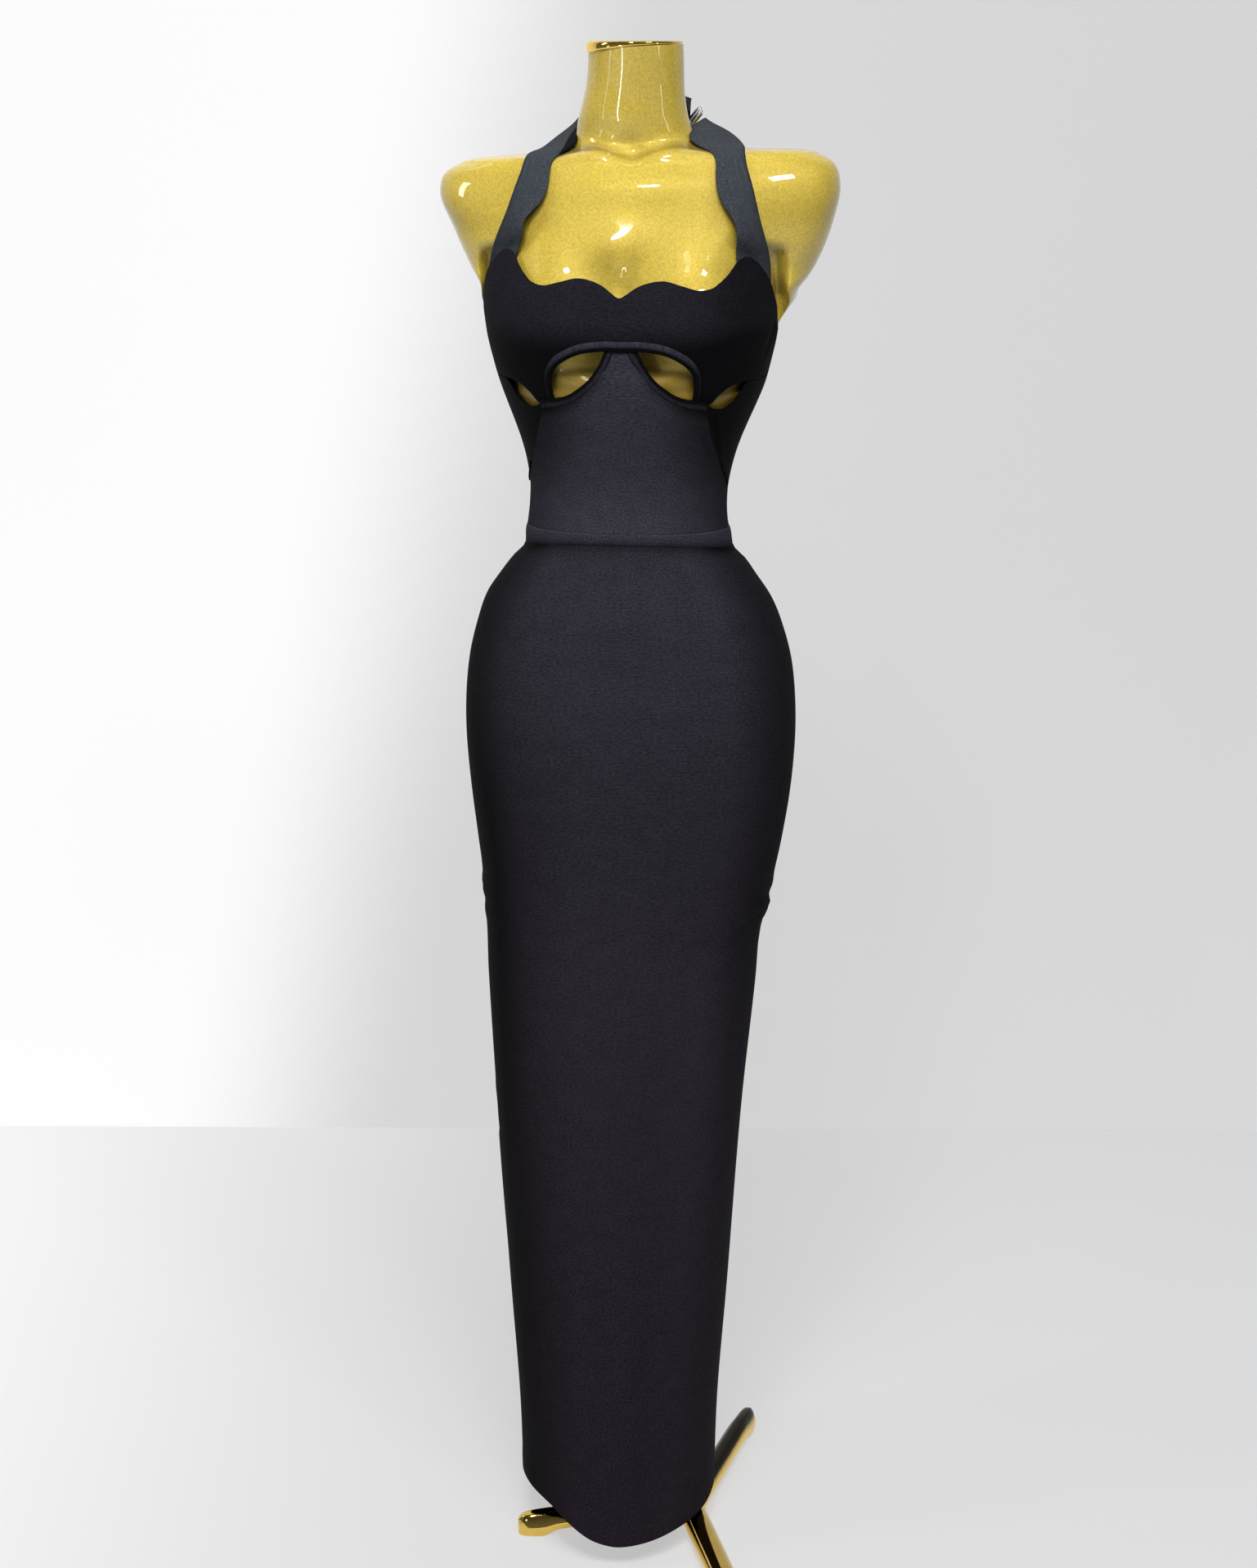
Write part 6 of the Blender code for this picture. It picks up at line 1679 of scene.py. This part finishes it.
# ---- stand -----------------------------------------------------------------------------
class DRESS_OT_stand(Piece, bpy.types.Operator):
    """Make the stand: hub, pole and socket, and three splayed arms"""
    bl_idname = "dress.stand"
    bl_label = "Stand"
    # how dark the painted reflection of the black cloth above makes an arm's top
    DARK_REFLECTION = {"stand_arm_back": 1.25, "stand_arm_left": 0.3, "stand_arm_front": 0.35}

    def build(self, sizes):
        socket = FORM_FOOT - SOCKET_HEIGHT
        self.turned("stand_hub", [
            (0.2 * HUB_RADIUS, HUB_FOOT), (HUB_RADIUS - 0.002, HUB_FOOT),
            (HUB_RADIUS, HUB_FOOT + 0.002), (HUB_RADIUS, HUB_TOP - 0.005),
            (HUB_RADIUS - 0.0012, HUB_TOP - 0.0015), (HUB_RADIUS - 0.003, HUB_TOP),
            (POLE_RADIUS, HUB_TOP)])
        self.turned("stand_pole", [
            (0.2 * POLE_RADIUS, HUB_TOP + GAP), (POLE_RADIUS, HUB_TOP + GAP),
            (POLE_RADIUS, socket - GAP), (0.2 * POLE_RADIUS, socket - GAP)])
        self.turned("form_socket", [
            (0.004, socket), (0.019, socket), (0.021, socket + 0.002), (0.021, FORM_FOOT - 0.005),
            (0.032, FORM_FOOT - 0.0035), (0.032, FORM_FOOT - GAP), (0.004, FORM_FOOT - GAP)])
        for name, direction, reach, wider in ARMS:
            self.arm(name, direction, reach, wider)

    def turned(self, name, profile):
        """A turned piece about the pole's line: rows of (radius, height)."""
        _, c, s = circle(64)
        rings = [np.stack([POLE[0] + radius * c, POLE[1] + radius * s, height + 0 * c], axis=-1)
                 for radius, height in profile]
        made = tube(name, rings, gold_chrome(), [name])
        made.data.set_sharp_from_angle(angle=math.radians(35))

    def arm(self, name, direction, reach, wider):
        """An arm: a ridged bar that arches down to a flat foot with a rounded tip."""
        turn = math.radians(direction)
        way = np.array([math.cos(turn), math.sin(turn), 0.0])
        across = np.array([-math.sin(turn), math.cos(turn), 0.0])
        start = HUB_RADIUS + GAP
        tip = 1 - 0.10 * np.linspace(1, 0, 30)[1:] ** 2
        shares = np.concatenate([np.linspace(0, 0.90, 60), tip])
        half, foot, top = values_at(ARM_SECTIONS, shares)
        centre = np.append(POLE, 0.0) + way * (start + (reach - start) * shares)[:, None]
        outline = self.outline()
        side, rise = outline[:, 0][:, None], outline[:, 1][:, None]
        rings = [c + across * (h * side) * wider + np.array([0, 0, 1]) * (f + (t - f) * rise)
                 for c, h, f, t in zip(centre, half, foot, top)]
        # painted dark reflection of the black cloth above on the arm's top
        dark = np.ones((len(rings), 1)) * (self.DARK_REFLECTION[name] * smooth(rise[:, 0], 0.50, 0.80))
        made = tube(name, rings, gold_chrome(), [name], tone=dark)
        made.data.set_sharp_from_angle(angle=math.radians(35))

    def outline(self):
        """The arm's section as a closed curve with softened corners."""
        loop = np.array(ARM_PROFILE + ARM_PROFILE[:1], float)
        points = []
        for a, b in zip(loop, loop[1:]):
            points.extend(a + (b - a) * t for t in (0.10, 0.5, 0.90))
        return np.array(points)


# ---- stage -----------------------------------------------------------------------------
class DRESS_OT_stage(Piece, bpy.types.Operator):
    """Make the pale floor and wall, the soft lamps and the camera"""
    bl_idname = "dress.stage"
    bl_label = "Stage"
    AZIMUTH, PITCH, ROLL = 6.0, 16.5, 0.2
    DISTANCE, EYE, ASIDE = 2.5, 1.60, -0.003
    LENS, FILM = 56.9, 36.0
    WALL_BEHIND = 1.05
    # where its painted light begins to fall off towards -X and where it ends, its white, and the
    # strength of its painted glow
    PLASTER = {"wall": (-0.45, -0.85, 1.11, 0.73), "floor": (-0.10, -1.30, 1.04, 0.67)}
    # painted light: how its fall-off leans, and how much darker the wall is painted upwards
    ASLANT, TALL = 0.24, 0.14    # how the fall-off leans, and how much darker the wall is upwards
    # the light from all round: place on the way up, colour
    SKY = [(0.02, (0.14, 0.14, 0.145, 1)), (0.60, (0.09, 0.09, 0.095, 1))]
    # name, where it stands, where it points, its width and height, its watts
    LAMPS = [
        ("key", (0.15, -2.2, 4.0), (0.0, 0.0, 1.15), (1.6, 1.5), 155.0),
        ("right fill", (1.55, -1.90, 3.60), (0.0, 0.0, 1.3), (0.55, 0.50), 26.0),
        ("left fill", (-2.53, -0.94, 2.65), (0.0, 0.0, 1.3), (0.35, 1.10), 14.0),
        ("rear", (-0.6, 2.9, 3.2), (0.0, 0.0, 1.1), (2.6, 2.0), 130.0),
        ("wash", (-0.9, 0.15, 4.2), (-0.5, 1.05, 0.6), (3.6, 0.3), 6.0),
        ("spot", (-0.2, -2.0, 3.5), (0.0, 0.0, 1.4), (0.36, 0.36), 15.0),
        ("neck tube", (-0.95, -2.0, 1.15), (0.0, 0.0, 1.5), (0.08, 0.50), 3.0),
        ("left tube", (-2.5, -1.8, 1.3), (0.0, 0.0, 1.5), (0.14, 0.9), 1.4),
        ("right tube", (2.4, -1.65, 1.5), (0.0, 0.0, 1.5), (0.14, 0.9), 2.0),
    ]

    def build(self, sizes):
        stage = bpy.context.scene.dress_stage
        self.room(stage)
        for name, place, aim, size, watts in self.LAMPS:
            self.lamp(name, place, aim, size, watts * stage.lamps)
        self.world(stage)
        self.camera()
        bpy.context.scene.view_settings.view_transform = "Standard"

    def room(self, stage):
        """A floor and a wall that is seen from its front only."""
        turn = math.radians(self.AZIMUTH)
        back = Vector((-math.sin(turn), math.cos(turn), 0))
        wide, up = 9.0, Vector((0, 0, 5.0))
        aside = Vector((math.cos(turn), math.sin(turn), 0)) * wide
        foot = back * self.WALL_BEHIND
        corners = (-1, -1), (1, -1), (1, 1), (-1, 1)
        sheets = {
            "floor": [Vector((x * wide, y * wide, 0)) for x, y in corners],
            "wall": [foot - aside, foot + aside, foot + aside + up, foot - aside + up],
        }
        for name, corners in sheets.items():
            mesh = bpy.data.meshes.new(name)
            mesh.from_pydata([tuple(c) for c in corners], [], [(0, 1, 2, 3)])
            mesh.materials.append(self.plaster(name, stage))
            made = linked(name, mesh)
            made.visible_diffuse = False

    def plaster(self, name, stage):
        """Pale matt plaster that glows with painted light, whiter towards -X and darker up the
        wall; the wall's back lets everything through.
        """
        paint = Paint(f"{name} plaster")
        where = paint.place()
        cloudy = paint.noise(where, 3.0, 2.0)
        aside = paint.apart(where)
        tall = aside.beside(2)
        start, end, white, strength = self.PLASTER[name]
        fade = paint.node("ShaderNodeMapRange", {"interpolation_type": "SMOOTHSTEP"},
                          {0: aside - tall * self.ASLANT, 1: start, 2: end, 3: 0.0, 4: 0.97})
        share = fade + cloudy * 0.03
        base = paint.blend(share, tinted(stage.floor, 0.30), (0.30, 0.30, 0.30, 1))
        # painted light: the plaster's glow, white towards -X and darker upwards
        glow = paint.blend(share, tinted(stage.floor, 1.0), (white, white, white, 1))
        glow = paint.blend(tall * self.TALL, glow, (0.0, 0.0, 0.0, 1))
        look = paint.done(Base_Color=base, Roughness=0.9, Specular_IOR_Level=0.2,
                          Emission_Color=glow, Emission_Strength=strength)
        if name == "wall":
            side = paint.node("ShaderNodeNewGeometry").beside("Backfacing")
            clear = paint.node("ShaderNodeBsdfTransparent")
            shown = Value(paint, paint.shader.outputs[0])
            mixed = paint.node("ShaderNodeMixShader", None, {0: side, 1: shown, 2: clear})
            output = next(n for n in paint.tree.nodes if n.type == "OUTPUT_MATERIAL")
            paint.tree.links.new(mixed.socket, output.inputs[0])
        return look

    def lamp(self, name, place, aim, size, watts):
        """A soft rectangular lamp."""
        data = bpy.data.lights.new(name, "AREA")
        data.shape = "DISK" if name == "spot" else "RECTANGLE"
        data.size, data.size_y, data.energy = *size, watts
        made = linked(name, data)
        made.location = place
        made.rotation_euler = (Vector(aim) - Vector(place)).to_track_quat("-Z", "Y").to_euler()
        made.visible_glossy = name != "key"

    def world(self, stage):
        """Soft light all round, darker from above."""
        world = bpy.data.worlds.new("room")
        bpy.context.scene.world = world
        world.use_nodes = True
        nodes, links = world.node_tree.nodes, world.node_tree.links
        background = nodes["Background"]
        background.inputs["Strength"].default_value = 1.0
        place = nodes.new("ShaderNodeTexCoord")
        split = nodes.new("ShaderNodeSeparateXYZ")
        ramp = nodes.new("ShaderNodeValToRGB")
        for element, (at, colour) in zip(ramp.color_ramp.elements, self.SKY):
            element.position, element.color = at, colour
        links.new(place.outputs["Generated"], split.inputs[0])
        links.new(split.outputs[2], ramp.inputs[0])
        links.new(ramp.outputs[0], background.inputs["Color"])

    def camera(self):
        """The camera, turned a little to the +X side and looking down."""
        turn, pitch = math.radians(self.AZIMUTH), math.radians(self.PITCH)
        right = Vector((math.cos(turn), math.sin(turn), 0))
        back = Vector((math.sin(turn), -math.cos(turn), 0))
        place = Vector(FIGURE) + Vector((0, 0, self.EYE)) + back * self.DISTANCE
        place = place + right * self.ASIDE
        look = -back * math.cos(pitch) - Vector((0, 0, math.sin(pitch)))
        data = bpy.data.cameras.new("camera")
        data.lens, data.sensor_width = self.LENS, self.FILM
        made = linked("camera", data)
        made.location = place
        made.rotation_euler = look.to_track_quat("-Z", "Y").to_euler()
        made.rotation_euler.rotate_axis("Z", math.radians(self.ROLL))
        bpy.context.scene.camera = made


# ---- panel and main ----------------------------------------------------------------------
STEPS = [DRESS_OT_stage, DRESS_OT_bust_band, DRESS_OT_midriff, DRESS_OT_back, DRESS_OT_waistband,
         DRESS_OT_skirt, DRESS_OT_bindings, DRESS_OT_zip, DRESS_OT_stitches, DRESS_OT_form,
         DRESS_OT_straps, DRESS_OT_stand]
GROUPS = {"dress_sizes": DressSizes, "dress_looks": DressLooks, "dress_stage": DressStage}


class DRESS_PT_panel(bpy.types.Panel):
    """The dress's pieces, sizes and colours"""
    bl_label = "Halter Dress"
    bl_space_type = "VIEW_3D"
    bl_region_type = "UI"
    bl_category = "Dress"

    def draw(self, context):
        for step in STEPS:
            self.layout.operator(step.bl_idname)
        for name, group in GROUPS.items():
            for label in group.__annotations__:
                self.layout.prop(getattr(context.scene, name), label)


def register():
    """Register the property groups, the operators and the panel."""
    for made in (*GROUPS.values(), *STEPS, DRESS_PT_panel):
        bpy.utils.register_class(made)
    for name, group in GROUPS.items():
        setattr(bpy.types.Scene, name, PointerProperty(type=group))


def unregister():
    """Take back what register added."""
    for name in GROUPS:
        delattr(bpy.types.Scene, name)
    for made in (DRESS_PT_panel, *reversed(STEPS), *reversed(list(GROUPS.values()))):
        bpy.utils.unregister_class(made)


def main():
    """Make every piece."""
    register()
    for step in STEPS:
        group, word = step.bl_idname.split(".")
        getattr(getattr(bpy.ops, group), word)()
    bpy.context.view_layer.update()


if __name__ == "__main__":
    main()
